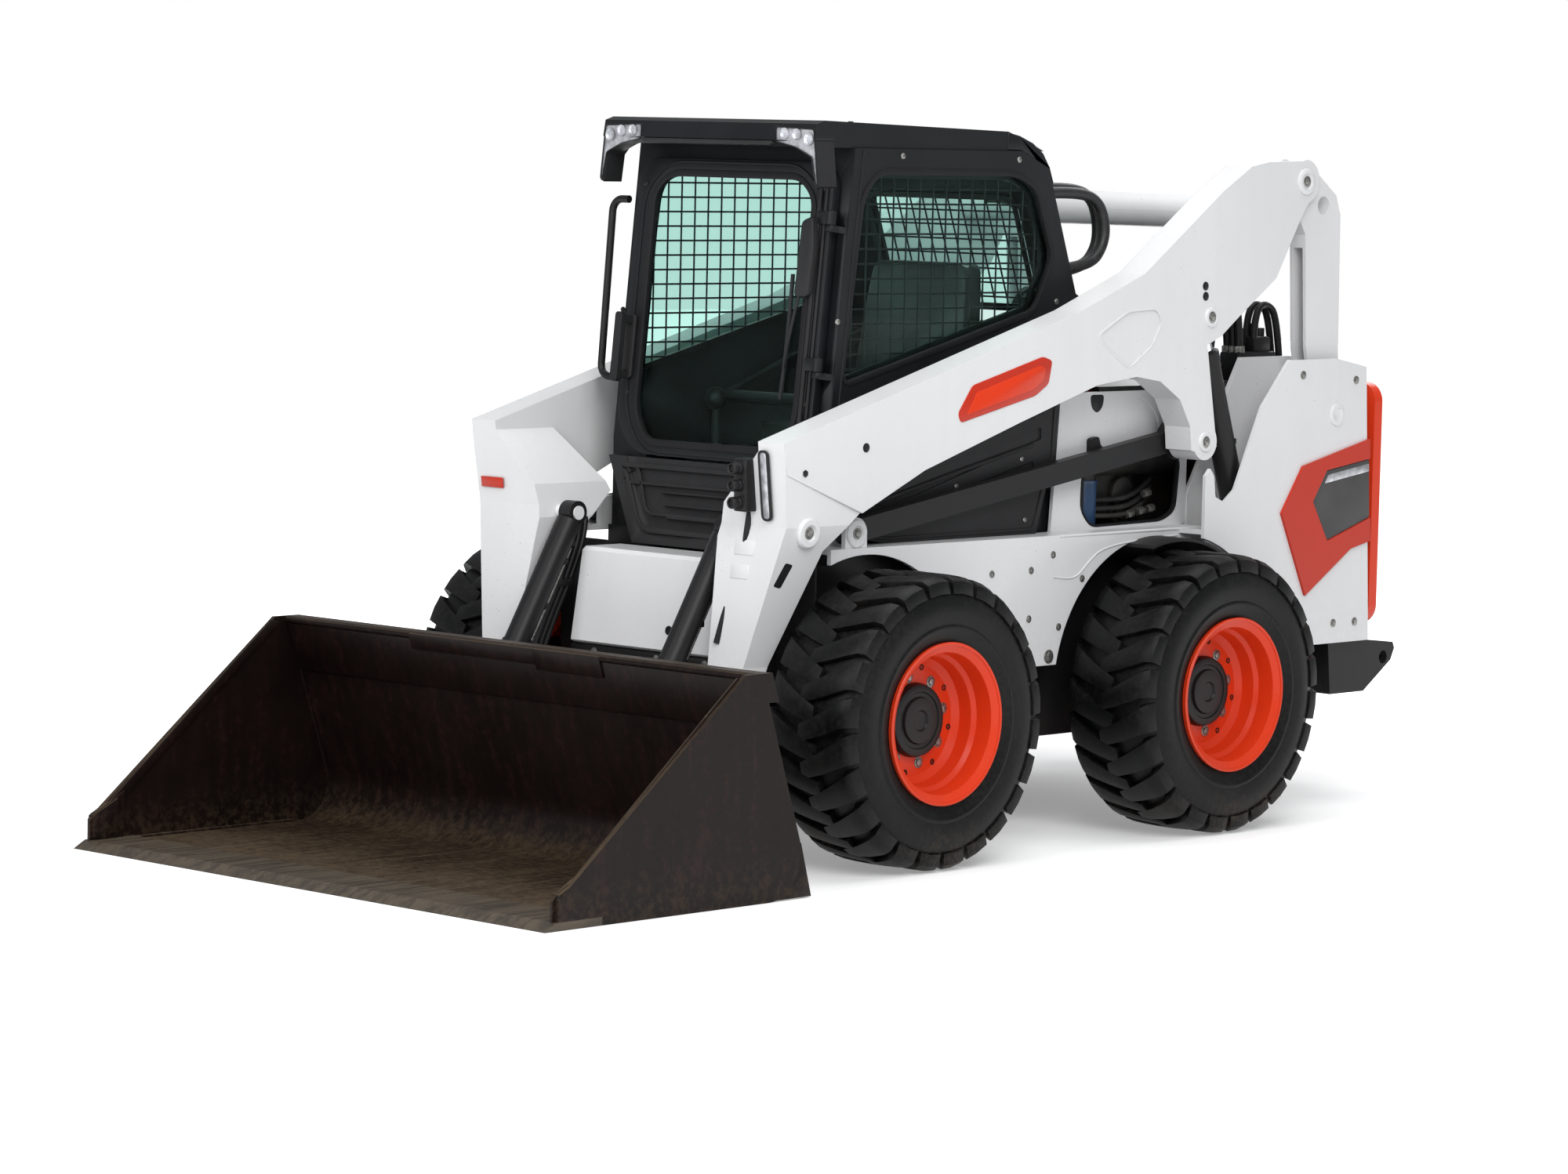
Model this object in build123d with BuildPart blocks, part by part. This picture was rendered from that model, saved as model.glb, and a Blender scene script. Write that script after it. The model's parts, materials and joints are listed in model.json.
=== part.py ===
from build123d import *
import os
from math import atan2, cos, degrees, hypot, radians, sin, tan

# Skid steer loader with vertical-lift arms, an enclosed cab and a smooth-lipped dirt bucket.
# Millimetres. X forward, Y to the machine's left, Z up from the floor it stands on.
# Side outlines are (x forward of the rear axle, z); front outlines are (y, z).

os.makedirs("parts", exist_ok=True)

# ---------------------------------------------------------------- driving sizes
wheelbase = 1250
tail_overhang = 1109            # rear axle to the bumper's end
lip_reach = 1588                # front axle to the bucket's cutting edge
overall_length = tail_overhang + wheelbase + lip_reach
rear_axle_x = tail_overhang - overall_length / 2
front_axle = wheelbase

running_gap = 0.4               # radial clearance of every pin in its eye
seat_gap = 0.3                  # between faces that stay close without touching

# Wheels
tyre_radius = 410
tyre_width = 310
tyre_inner_y = 554
lug_height = 26
lug_count = 24                  # on each side of the tread
lug_crown_width = 40            # round the tyre, at the middle of the tread
lug_shoulder_width = 54
lug_sweep = 62                  # how far the outer end trails the inner end
lug_foot_radius = 340           # where a lug runs out on the side wall
bead_radius = 206
rim_flange_radius = 224
rim_flange = 10
rim_wall = 9
disc_y = 722                    # inner face of the wheel disc
disc_plate = 12
hub_radius = 98
spigot_radius = 45
spigot_depth = 16
axle_tube_radius = 75
axle_flange_radius = 112
axle_flange = 40

# Chassis
tub_half = 440
tub_plate = 12
tub_floor_z = 275
deck_z = 872
nose_half = 290
nose_start = 1340
nose_front = 1540
panel_y = 545                   # outer face of the lower side panels
panel_plate = 15
panel_front = 1394
panel_tip_z = 497
arch_radius = 443
fender_radius = 442
fender_plate = 10
upright_y = 640                 # outer face of the rear uprights
upright_plate = 12
upright_inner_plate = 16
upright_rear = -921
upright_front = -250            # front edge of the inner plates
bumper_top = 500
bumper_half = 600
tie_ear = 40
tie_hole = (-1052, 436)
tie_hole_radius = 20
sling_hole = (-685, 1828)
sling_hole_radius = 28

# Engine bay
hood_z = 1290
hood_plate = 14
engine_panel_plate = 12
engine_panel_front = 365
cover_plate = 28
cover_groove = 5

# Lift linkage pins, (x, z)
link_foot = (-730, 1197)        # rear link on the upright
arm_pivot = (-571, 1900)        # arm on the rear link
arm_lug = (-127, 1130)          # control link's eye under the arm
control_foot = (1280, 912)      # control link on the chassis
lift_foot = (-430, 650)         # lift cylinder on the upright
lift_eye = (-139, 1498)         # lift cylinder in the arm
bucket_pin = (1830, 235)        # coupler on the arm's leg
tilt_foot = (1560, 925)         # tilt cylinder on the leg
tilt_eye = (1880, 385)          # tilt cylinder on the coupler

# Lift arms
arm_outer_y = 620
arm_inner_y = 522
arm_cheek = 14                  # plate left each side of a fork
leg_outer_y = 520
leg_inner_y = 385
pivot_radius = 65
leg_end_radius = 60
press_depth = 3                 # oval pressed into the arm's outer face
rear_tube = (-340, 1805)
rear_tube_radius = 52
front_tube = (1730, 340)
front_tube_radius = 42
tube_wall = 9
big_pin = 25
mid_pin = 20

# Rear links and control links
link_outer_y = 600
link_width = 60
link_wall = 12
control_outer_y = 512
control_width = 34
control_depth = 64
control_eye_radius = 58
control_boss_radius = 44
control_foot_radius = 34

# Cylinders
lift_y = 570                    # centre plane
lift_bore_radius = 38
lift_rod_radius = 25
lift_barrel_length = 785
lift_rod_length = 745
lift_eye_radius = 44
lift_eye_width = 54
tilt_y = 310
tilt_bore_radius = 36
tilt_rod_radius = 20
tilt_barrel_length = 450
tilt_rod_length = 480
tilt_eye_radius = 34
tilt_eye_width = 46
gland_length = 30
gland_step = 3                  # gland nut over the barrel

# Bucket and coupler
bucket_half = 945
bucket_plate = 14
bucket_side = 14
bucket_heel_x = 1861
bucket_height = 607
bucket_lean = 19                # back plate, degrees forward of upright
heel_radius = 120
edge_depth = 200
edge_plate = 22
top_beam_height = 78
top_beam_depth = 36
step_plate = 8
cutter_plate = 8
coupler_half = 560
coupler_plate = 30
ear_plate = 15
ear_gap = 6

# Cab
cab_half = 425
cab_wall = 32
door_lean = 5.92                # front plane, degrees back from upright
door_plate = 32
door_gap = 1.5
door_foot_z = 1165
door_top_z = 1935
door_half = 385
door_border = 62
door_foot_x = 1316              # outer face of the door at knee_z
knee_z = 1213
glass_plate = 6
roof_half = 418
roof_front = 1362
roof_z = 2049
roof_plate = 14
toe_top_half = 410
toe_foot_half = 250
toe_foot_z = 836
toe_front = 1383

# Tailgate
tail_gap = 5
tail_plate = 38
trim_plate = 8
louvre_count = 15
tail_half = 634
tail_foot_z = 545
tail_top_z = 1290
tail_hinge_y = -650
tail_hinge_x = -962
tail_hinge_heights = (600, 1230)
hinge_pin = 9
knuckle_radius = 16


def side(y):
    """Upright plane at y with X across and Z up; extruding from it goes towards the right."""
    return Plane(origin=(rear_axle_x, y, 0), x_dir=(1, 0, 0), z_dir=(0, -1, 0))


def across(x):
    """Upright plane at x with Y across and Z up; extruding from it goes forward."""
    return Plane(origin=(rear_axle_x + x, 0, 0), x_dir=(0, 1, 0), z_dir=(1, 0, 0))


def level(z):
    """Level plane at z with X along the machine; extruding from it goes up."""
    return Plane(origin=(rear_axle_x, 0, z))


def pin_line(pin):
    """Line across the machine through a pin."""
    return Axis((rear_axle_x + pin[0], 0, pin[1]), (0, 1, 0))


def reach(start, end):
    """Distance from one pin to another."""
    return hypot(end[0] - start[0], end[1] - start[1])


def bearing(start, end):
    """Angle of the line from one pin to another, degrees up from forward."""
    return degrees(atan2(end[1] - start[1], end[0] - start[0]))


def finish(piece, name):
    """Label a finished sub-part and write it to its own file."""
    piece.part.label = name
    export_step(piece.part, f"parts/{name}.step")


# ---------------------------------------------------------------- cab front plane
lean_run = tan(radians(door_lean))
frame_back = (door_plate + door_gap) / cos(radians(door_lean))


def door_face_x(z):
    """x of the door's outer face at a height."""
    return door_foot_x - (z - knee_z) * lean_run


def cab_face_x(z):
    """x of the cab frame's front face at a height."""
    return door_face_x(z) - frame_back


cab_foot_front = cab_face_x(1130)


# ---------------------------------------------------------------- tyres and wheels
tyre_outer_y = tyre_inner_y + tyre_width
bead_inner_y = tyre_inner_y + 16
bead_outer_y = tyre_outer_y - 16
shoulder_drop = 34
shoulder_step = 46
sidewall_bulge_radius = (bead_radius + tyre_radius) / 2 + 8
well_radius = bead_radius - seat_gap - rim_wall

tyre_mid_y = tyre_inner_y + tyre_width / 2
tread_radius = tyre_radius - lug_height


def tyre_point(y, radius):
    """Point of a tyre's section at y and at a radius above its axle."""
    return (y, tyre_radius + radius)


def lug_ring(inner_y, outer_y, toward):
    """Ring between the side wall and the tread's outline on one half of the tyre."""
    with BuildPart() as ring:
        with BuildSketch(across(0)):
            Polygon(
                tyre_point(inner_y, lug_foot_radius),
                tyre_point(inner_y, tyre_radius),
                tyre_point(outer_y - toward * shoulder_step, tyre_radius),
                tyre_point(outer_y - toward * 8, tyre_radius - shoulder_drop),
                tyre_point(outer_y - toward, lug_foot_radius),
                align=None,
            )
        revolve(axis=Axis((rear_axle_x, 0, tyre_radius), (0, 1, 0)))
    return ring.part


with BuildPart() as tyre_pattern:
    with BuildSketch(across(0)):
        with BuildLine():
            Polyline(
                tyre_point(tyre_inner_y + shoulder_step + 10, tread_radius),
                tyre_point(tyre_outer_y - shoulder_step - 10, tread_radius),
                tyre_point(tyre_outer_y - 16, tread_radius - shoulder_drop),
            )
            ThreePointArc(
                tyre_point(tyre_outer_y - 16, tread_radius - shoulder_drop),
                tyre_point(tyre_outer_y, sidewall_bulge_radius - 14),
                tyre_point(bead_outer_y, rim_flange_radius + 2),
            )
            Polyline(
                tyre_point(bead_outer_y, rim_flange_radius + 2),
                tyre_point(bead_outer_y, bead_radius),
                tyre_point(bead_inner_y, bead_radius),
                tyre_point(bead_inner_y, rim_flange_radius + 2),
            )
            ThreePointArc(
                tyre_point(bead_inner_y, rim_flange_radius + 2),
                tyre_point(tyre_inner_y, sidewall_bulge_radius - 14),
                tyre_point(tyre_inner_y + 16, tread_radius - shoulder_drop),
            )
            Line(
                tyre_point(tyre_inner_y + 16, tread_radius - shoulder_drop),
                tyre_point(tyre_inner_y + shoulder_step + 10, tread_radius),
            )
        make_face()
    revolve(axis=Axis((rear_axle_x, 0, tyre_radius), (0, 1, 0)))

# One lug of each half, meeting in a V that points forward on top, then turned round the tyre
lugs = []
for end_y, toward, turn in ((tyre_outer_y, 1, 0), (tyre_inner_y, -1, 180 / lug_count)):
    reach_y = tyre_width / 2 + 6
    with BuildPart() as lug:
        with BuildSketch(level(tyre_radius + lug_foot_radius)):
            with Locations((0, tyre_mid_y)):
                Polygon(
                    (lug_sweep / 2 - lug_crown_width / 2, -toward * 9),
                    (lug_sweep / 2 + lug_crown_width / 2, -toward * 9),
                    (-lug_sweep / 8 + lug_shoulder_width / 2, toward * (reach_y - shoulder_step - 20)),
                    (-lug_sweep / 2 + lug_shoulder_width / 2, toward * reach_y),
                    (-lug_sweep / 2 - lug_shoulder_width / 2, toward * reach_y),
                    (-lug_sweep / 8 - lug_shoulder_width / 2, toward * (reach_y - shoulder_step - 20)),
                    align=None,
                )
        extrude(amount=tyre_radius - lug_foot_radius + 4)
        add(lug_ring(tyre_mid_y - toward * 12, end_y, toward), mode=Mode.INTERSECT)
    lug_axis = Axis((rear_axle_x, 0, tyre_radius), (0, 1, 0))
    lugs += [lug.part.rotate(lug_axis, turn + 360 * k / lug_count) for k in range(lug_count)]
tyre_body = tyre_pattern.part.fuse(*lugs)

# place: (x of the axle, side)
wheel_places = {
    "front_left": (front_axle, 1),
    "front_right": (front_axle, -1),
    "rear_left": (0, 1),
    "rear_right": (0, -1),
}

for place, (axle_x, hand) in wheel_places.items():
    axle_line = Axis((rear_axle_x + axle_x, 0, tyre_radius), (0, 1, 0))

    def at_radius(y, radius):
        """Point of a wheel section at y and at a radius above the axle."""
        return (hand * y, tyre_radius + radius)

    with BuildPart() as tyre:
        with Locations((axle_x, 0, 0)):
            add(tyre_body)
        if hand < 0:
            mirror(about=Plane.XZ, mode=Mode.REPLACE)
    finish(tyre, f"tyre_{place}")

    hub_back_y = disc_y - 22
    seat_radius = bead_radius - seat_gap
    rim_outer_y = bead_outer_y + seat_gap + rim_flange
    rim_inner_y = bead_inner_y - seat_gap - rim_flange
    disc_front_y = disc_y + disc_plate
    with BuildPart() as wheel:
        with BuildSketch(across(axle_x)):
            Polygon(
                at_radius(hub_back_y + spigot_depth, 0),
                at_radius(hub_back_y + spigot_depth, spigot_radius + running_gap),
                at_radius(hub_back_y, spigot_radius + running_gap),
                at_radius(hub_back_y, axle_flange_radius),
                at_radius(disc_y, axle_flange_radius + 8),
                at_radius(disc_y, well_radius),
                at_radius(rim_inner_y, well_radius),
                at_radius(rim_inner_y, rim_flange_radius),
                at_radius(bead_inner_y - seat_gap, rim_flange_radius),
                at_radius(bead_inner_y - seat_gap, seat_radius),
                at_radius(bead_outer_y + seat_gap, seat_radius),
                at_radius(bead_outer_y + seat_gap, rim_flange_radius),
                at_radius(rim_outer_y, rim_flange_radius),
                at_radius(rim_outer_y, rim_flange_radius - 8),
                at_radius(rim_outer_y - 12, well_radius),
                at_radius(disc_front_y + 62, well_radius - 4),
                at_radius(disc_front_y + 52, well_radius - 16),
                at_radius(disc_front_y + 14, well_radius - 22),
                at_radius(disc_front_y, well_radius - 42),
                at_radius(disc_front_y, hub_radius),
                at_radius(disc_front_y + 20, hub_radius - 6),
                at_radius(disc_front_y + 20, hub_radius - 34),
                at_radius(disc_front_y + 12, hub_radius - 40),
                at_radius(disc_front_y + 12, 0),
                align=None,
            )
        revolve(axis=axle_line)
    finish(wheel, f"wheel_{place}")

with BuildPart() as axles:
    for axle_x in (0, front_axle):
        # (from y, to y, radius)
        for start_y, end_y, radius in (
            (tub_half, hub_back_y - axle_flange, axle_tube_radius),
            (hub_back_y - axle_flange, hub_back_y - seat_gap, axle_flange_radius),
            (hub_back_y - seat_gap, hub_back_y + spigot_depth - seat_gap, spigot_radius),
        ):
            with BuildSketch(side(end_y)):
                with Locations((axle_x, tyre_radius)):
                    Circle(radius)
            extrude(amount=end_y - start_y)
    mirror(about=Plane.XZ)
finish(axles, "axles")

# ---------------------------------------------------------------- chassis tub
nose_top_z = toe_foot_z - 20
tub_outline = [
    (upright_rear + 16, bumper_top),
    (upright_rear + 16, 400),
    (-780, 335),
    (-560, tub_floor_z),
    (1290, tub_floor_z),
    (nose_start, 330),
    (nose_start, nose_top_z),
    (cab_foot_front, nose_top_z),
    (cab_foot_front, deck_z),
    (upright_rear + 16, deck_z),
]
nose_outline = [
    (nose_start, 330),
    (1450, 400),
    (nose_front, 560),
    (1500, nose_top_z),
    (nose_start, nose_top_z),
]
with BuildPart() as chassis:
    with BuildSketch(side(tub_half)):
        Polygon(*tub_outline, align=None)
    extrude(amount=2 * tub_half)
    with BuildSketch(side(tub_half - tub_plate)):
        Polygon(*tub_outline, align=None)
        offset(amount=-tub_plate, mode=Mode.REPLACE, kind=Kind.INTERSECTION)
    extrude(amount=2 * (tub_half - tub_plate), mode=Mode.SUBTRACT)
    with BuildSketch(side(nose_half)):
        Polygon(*nose_outline, align=None)
    extrude(amount=2 * nose_half)
    with BuildSketch(level(deck_z - 2 * tub_plate)):
        with Locations(((upright_rear + 28 + cab_foot_front - tub_plate) / 2, 0)):
            Rectangle(cab_foot_front - tub_plate - upright_rear - 28, 2 * (tub_half - tub_plate))
    extrude(amount=3 * tub_plate, mode=Mode.SUBTRACT)
finish(chassis, "chassis")

# ---------------------------------------------------------------- lower side panels
shelf_rear = upright_front + 20
control_gap = 5
with BuildPart() as side_panels:
    with BuildSketch(side(panel_y)):
        Polygon(
            (panel_front, deck_z),
            (panel_front, tyre_radius),
            (front_axle - 300, panel_tip_z - 10),
            (300, panel_tip_z - 10),
            (shelf_rear, tyre_radius),
            (shelf_rear, deck_z),
            align=None,
        )
        with Locations((0, tyre_radius), (front_axle, tyre_radius)):
            Circle(arch_radius, mode=Mode.SUBTRACT)
        with Locations((wheelbase / 2, panel_tip_z - 60)):
            Rectangle(wheelbase, 120, mode=Mode.SUBTRACT)
    extrude(amount=panel_plate)
    with BuildSketch(side(panel_y)):
        with Locations(((shelf_rear + panel_front) / 2, deck_z - panel_plate / 2)):
            Rectangle(panel_front - shelf_rear, panel_plate)
    extrude(amount=panel_y - tub_half)
    # Ears and pin of the control link
    with BuildSketch(side(control_outer_y + control_gap + panel_plate)):
        with Locations(control_foot):
            Circle(control_boss_radius)
        with Locations((control_foot[0], (deck_z + control_foot[1]) / 2)):
            Rectangle(2 * control_boss_radius, control_foot[1] - deck_z)
    extrude(amount=panel_plate)
    with BuildSketch(side(tub_half + upright_inner_plate)):
        with Locations(control_foot):
            Circle(control_boss_radius)
        with Locations((control_foot[0], (deck_z + control_foot[1]) / 2)):
            Rectangle(2 * control_boss_radius, control_foot[1] - deck_z)
    extrude(amount=upright_inner_plate)
    with BuildSketch(side(control_outer_y + control_gap)):
        with Locations(control_foot):
            Circle(mid_pin)
    extrude(amount=control_outer_y + control_gap - tub_half - upright_inner_plate)
    mirror(about=Plane.XZ)
finish(side_panels, "side_panels")

# ---------------------------------------------------------------- rear uprights
arch_clear = 450
upright_outline = [
    (-110, deck_z - panel_plate),
    (-110, 1030),
    (-132, 1052),
    (-150, 1030),
    (-158, 968),
    (-200, 950),
    (-250, 986),
    (-367, 1228),
    (-492, 1366),
    (-725, 1367),
    (-871, 1340),
    (upright_rear, bumper_top),
    (-300, bumper_top),
    (-110, tyre_radius),
]
upright_in_y = tub_half + upright_inner_plate
upright_out_y = upright_y - upright_plate
with BuildPart() as uprights:
    with BuildSketch(side(upright_y)):
        Polygon(*upright_outline, align=None)
        with Locations((0, tyre_radius)):
            Circle(arch_clear, mode=Mode.SUBTRACT)
    extrude(amount=upright_plate)
    with BuildSketch(side(upright_in_y)):
        Polygon(
            (upright_front, bumper_top),
            (upright_front, 960),
            (-492, 1366),
            (-725, 1367),
            (-871, 1340),
            (upright_rear, bumper_top),
            align=None,
        )
    extrude(amount=upright_inner_plate)
    # Rear wall between the two plates, leaning with their rear edges
    with BuildSketch(side(upright_y)):
        Polygon(
            (-871, 1340),
            (-854, 1340),
            (upright_rear + 16, bumper_top),
            (upright_rear, bumper_top),
            align=None,
        )
    extrude(amount=upright_y - tub_half)
    # Step from the side panel's shelf out to the outer plate
    with BuildSketch(side(upright_y)):
        with Locations((-170, deck_z - panel_plate / 2)):
            Rectangle(120, panel_plate)
    extrude(amount=upright_y - panel_y)
    # Pins: (pin, radius, spacer radius, y of the spacer's outer end)
    for pin, radius, spacer, spacer_y in (
        (link_foot, big_pin, 42, link_outer_y - link_width - 4),
        (lift_foot, mid_pin, 26, lift_y - lift_eye_width / 2 - 4),
    ):
        with BuildSketch(side(upright_out_y)):
            with Locations(pin):
                Circle(radius)
        extrude(amount=upright_out_y - upright_in_y)
        with BuildSketch(side(spacer_y)):
            with Locations(pin):
                Circle(spacer)
        extrude(amount=spacer_y - upright_in_y)
    # Lugs that carry the tailgate's hinge pins on the machine's right
    mirror(about=Plane.XZ)
    for hinge_z in tail_hinge_heights:
        with BuildSketch(level(hinge_z - 60)):
            with Locations((tail_hinge_x, tail_hinge_y)):
                Circle(knuckle_radius)
            with Locations(((tail_hinge_x - 880) / 2, tail_hinge_y + 4)):
                Rectangle(-880 - tail_hinge_x, 16)
        extrude(amount=20)
        with BuildSketch(level(hinge_z - 60)):
            with Locations((tail_hinge_x, tail_hinge_y)):
                Circle(hinge_pin)
        extrude(amount=90)
finish(uprights, "uprights")

with BuildPart() as rear_fenders:
    with BuildSketch(side(upright_y)):
        with Locations((0, tyre_radius)):
            Circle(fender_radius)
            Circle(fender_radius - fender_plate, mode=Mode.SUBTRACT)
        with Locations((-fender_radius / 2 + 60, tyre_radius + fender_radius / 2 + 90)):
            Rectangle(fender_radius + 120, fender_radius + 180 - 100, mode=Mode.INTERSECT)
    extrude(amount=upright_y - upright_in_y)
    mirror(about=Plane.XZ)
finish(rear_fenders, "rear_fenders")

# ---------------------------------------------------------------- rear bumper
with BuildPart() as rear_bumper:
    with BuildSketch(side(bumper_half)):
        Polygon(
            (upright_rear + 15, bumper_top),
            (-1100, bumper_top - 20),
            (-tail_overhang, bumper_top - 39),
            (-1091, 425),
            (-957, 336),
            (upright_rear + 15, 336),
            align=None,
        )
    extrude(amount=2 * bumper_half)
    with BuildSketch(side(bumper_half)):
        Polygon((-773, bumper_top), (upright_rear + 15, bumper_top), (upright_rear + 15, 336), (-790, 336),
                align=None)
    extrude(amount=bumper_half - tub_half)
    with BuildSketch(side(-tub_half)):
        Polygon((-773, bumper_top), (upright_rear + 15, bumper_top), (upright_rear + 15, 336), (-790, 336),
                align=None)
    extrude(amount=bumper_half - tub_half)
    # Tie-down ears at the ends, with a pocket inside each
    with BuildSketch(level(300)):
        for hand in (1, -1):
            with Locations((-1060, hand * (bumper_half - tie_ear - 60))):
                Rectangle(120, 120)
    extrude(amount=300, mode=Mode.SUBTRACT)
    with BuildSketch(side(bumper_half)):
        with Locations(tie_hole):
            Circle(tie_hole_radius)
    extrude(amount=2 * bumper_half, mode=Mode.SUBTRACT)
finish(rear_bumper, "rear_bumper")

# ---------------------------------------------------------------- engine and its covers
filter_x = 138
filter_y = 372
filter_foot_z = 880
filter_radius = 42
filter_height = 150
log_y = 330
log_z = 1050
log_radius = 34
pump_x = -60
pump_y = 360
pump_z = 930
pump_radius = 58
with BuildPart() as engine_block:
    with BuildSketch(level(400)):
        with Locations((-270, 0)):
            Rectangle(640, 520)
    extrude(amount=700)
    with BuildSketch(level(tub_floor_z + tub_plate)):
        with Locations((-270, 0)):
            with GridLocations(480, 360, 2, 2):
                Rectangle(80, 70)
    extrude(amount=400 - tub_floor_z - tub_plate)
    # Rocker cover, with a filler neck
    with BuildSketch(level(1100)):
        with Locations((-270, 0)):
            RectangleRounded(520, 260, 40)
    extrude(amount=80)
    with BuildSketch(level(1180)):
        with Locations((-110, 0)):
            Circle(34)
    extrude(amount=46)
    # Side fittings seen through the bay openings: oil filter, manifold log and runners, pump
    for hand in (1, -1):
        with BuildSketch(level(filter_foot_z)):
            with Locations((filter_x, hand * filter_y)):
                Circle(filter_radius)
        extrude(amount=filter_height)
        with BuildSketch(level(filter_foot_z + filter_height)):
            with Locations((filter_x, hand * filter_y)):
                Circle(filter_radius + 5)
            with Locations((filter_x - 110, hand * (filter_y - 66))):
                Rectangle(220 + filter_radius, 60)
        extrude(amount=26)
        log_plane = Plane(origin=(rear_axle_x - 480, hand * log_y, log_z), x_dir=(0, 1, 0), z_dir=(1, 0, 0))
        with BuildSketch(log_plane):
            Circle(log_radius)
        extrude(amount=560)
        for runner_x in (-420, -280, -140, 0):
            with BuildSketch(side(hand * (log_y + 250) / 2 + (log_y - 250) / 2)):
                with Locations((runner_x, log_z)):
                    Circle(log_radius - 9)
            extrude(amount=log_y - 250)
        with BuildSketch(side(hand * (pump_y + 255) / 2 + (pump_y - 255) / 2)):
            with Locations((pump_x, pump_z)):
                Circle(pump_radius)
        extrude(amount=pump_y - 255)
        with BuildSketch(side(hand * (pump_y + 7) + 7)):
            with Locations((pump_x, pump_z)):
                Circle(pump_radius - 14)
        extrude(amount=14)
finish(engine_block, "engine_block")

bay_opening = [(228, 1040), (232, 933), (187, 884), (-137, 890), (-196, 916), (-212, 1070), (60, 1120)]
with BuildPart() as engine_panels:
    with BuildSketch(side(tub_half + engine_panel_plate)):
        Polygon(
            (upright_front + 1, deck_z),
            (engine_panel_front, deck_z),
            (engine_panel_front - 30, hood_z - hood_plate),
            (upright_front + 1, hood_z - hood_plate),
            align=None,
        )
        with BuildSketch(mode=Mode.PRIVATE) as bay_hole:
            Polygon(*bay_opening, align=None)
            fillet(bay_hole.vertices(), 26)
        add(bay_hole, mode=Mode.SUBTRACT)
    extrude(amount=engine_panel_plate)
    mirror(about=Plane.XZ)
finish(engine_panels, "engine_panels")

hood_front = 150
with BuildPart() as engine_hood:
    with BuildSketch(side(tub_half)):
        Polygon(
            (-880, hood_z - 60),
            (-862, hood_z),
            (hood_front, hood_z),
            (hood_front, hood_z - hood_plate),
            (-856, hood_z - hood_plate),
            (-866, hood_z - 60),
            align=None,
        )
    extrude(amount=2 * tub_half)
finish(engine_hood, "engine_hood")

with BuildPart() as side_covers:
    with BuildSketch(side(tub_half + cover_plate)):
        Polygon(
            (1101, deck_z),
            (1160, 883),
            (1201, 962),
            (1140, 1050),
            (engine_panel_front - 12, 1330),
            (engine_panel_front + 5, 1055),
            (403, 1022),
            (449, deck_z),
            align=None,
        )
    extrude(amount=cover_plate)
    for groove in (
        [(1128, 960), (1150, 995), (1128, 1025), (436, 1182), (436, 1146)],
        [(1142, 908), (1146, 932), (470, 1083), (462, 1058)],
        [(700, 1150), (712, 1176), (416, 1274), (420, 1240)],
    ):
        with BuildSketch(side(tub_half + cover_plate)):
            with BuildSketch(mode=Mode.PRIVATE) as groove_face:
                Polygon(*groove, align=None)
                fillet(groove_face.vertices(), 8)
            add(groove_face)
        extrude(amount=cover_groove, mode=Mode.SUBTRACT)
    mirror(about=Plane.XZ)
finish(side_covers, "side_covers")

# ---------------------------------------------------------------- front panel
with BuildPart() as front_panel:
    with BuildSketch(side(nose_half)):
        Polygon(
            (toe_front + 4, toe_foot_z - 20),
            (toe_front + 4, toe_foot_z - 6),
            (1524, toe_foot_z - 6),
            (1538, toe_foot_z - 16),
            (nose_front + 38, 566),
            (nose_front + 24, 558),
            (nose_front, 560),
            (1500, toe_foot_z - 20),
            align=None,
        )
    extrude(amount=2 * nose_half)
finish(front_panel, "front_panel")

# ---------------------------------------------------------------- cab
cab_top_z = 1975
door_plane = Plane(
    origin=(rear_axle_x + door_face_x(knee_z), 0, knee_z),
    x_dir=(0, 1, 0),
    z_dir=(cos(radians(door_lean)), 0, sin(radians(door_lean))),
)
door_rise = (door_top_z - knee_z) / cos(radians(door_lean))
door_drop = (knee_z - door_foot_z) / cos(radians(door_lean))
door_height = door_rise + door_drop
door_middle = (door_rise - door_drop) / 2
hinge_y = door_half + 16
hinge_out = 14
door_knuckle = 14
door_pin = 7
hinge_rises = (150, 560)
knuckle_length = 60
cab_outline = [
    (cab_foot_front, deck_z),
    (cab_foot_front, 1130),
    (cab_face_x(cab_top_z), cab_top_z),
    (500, cab_top_z),
    (382, 1927),
    (232, 1517),
    (190, 1310),
    (190, deck_z),
]
side_window = [(1176, 1843), (1106, 1915), (519, 1915), (424, 1870), (346, 1666), (427, 1508), (1240, 1310)]
rear_window_half = 300
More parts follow.
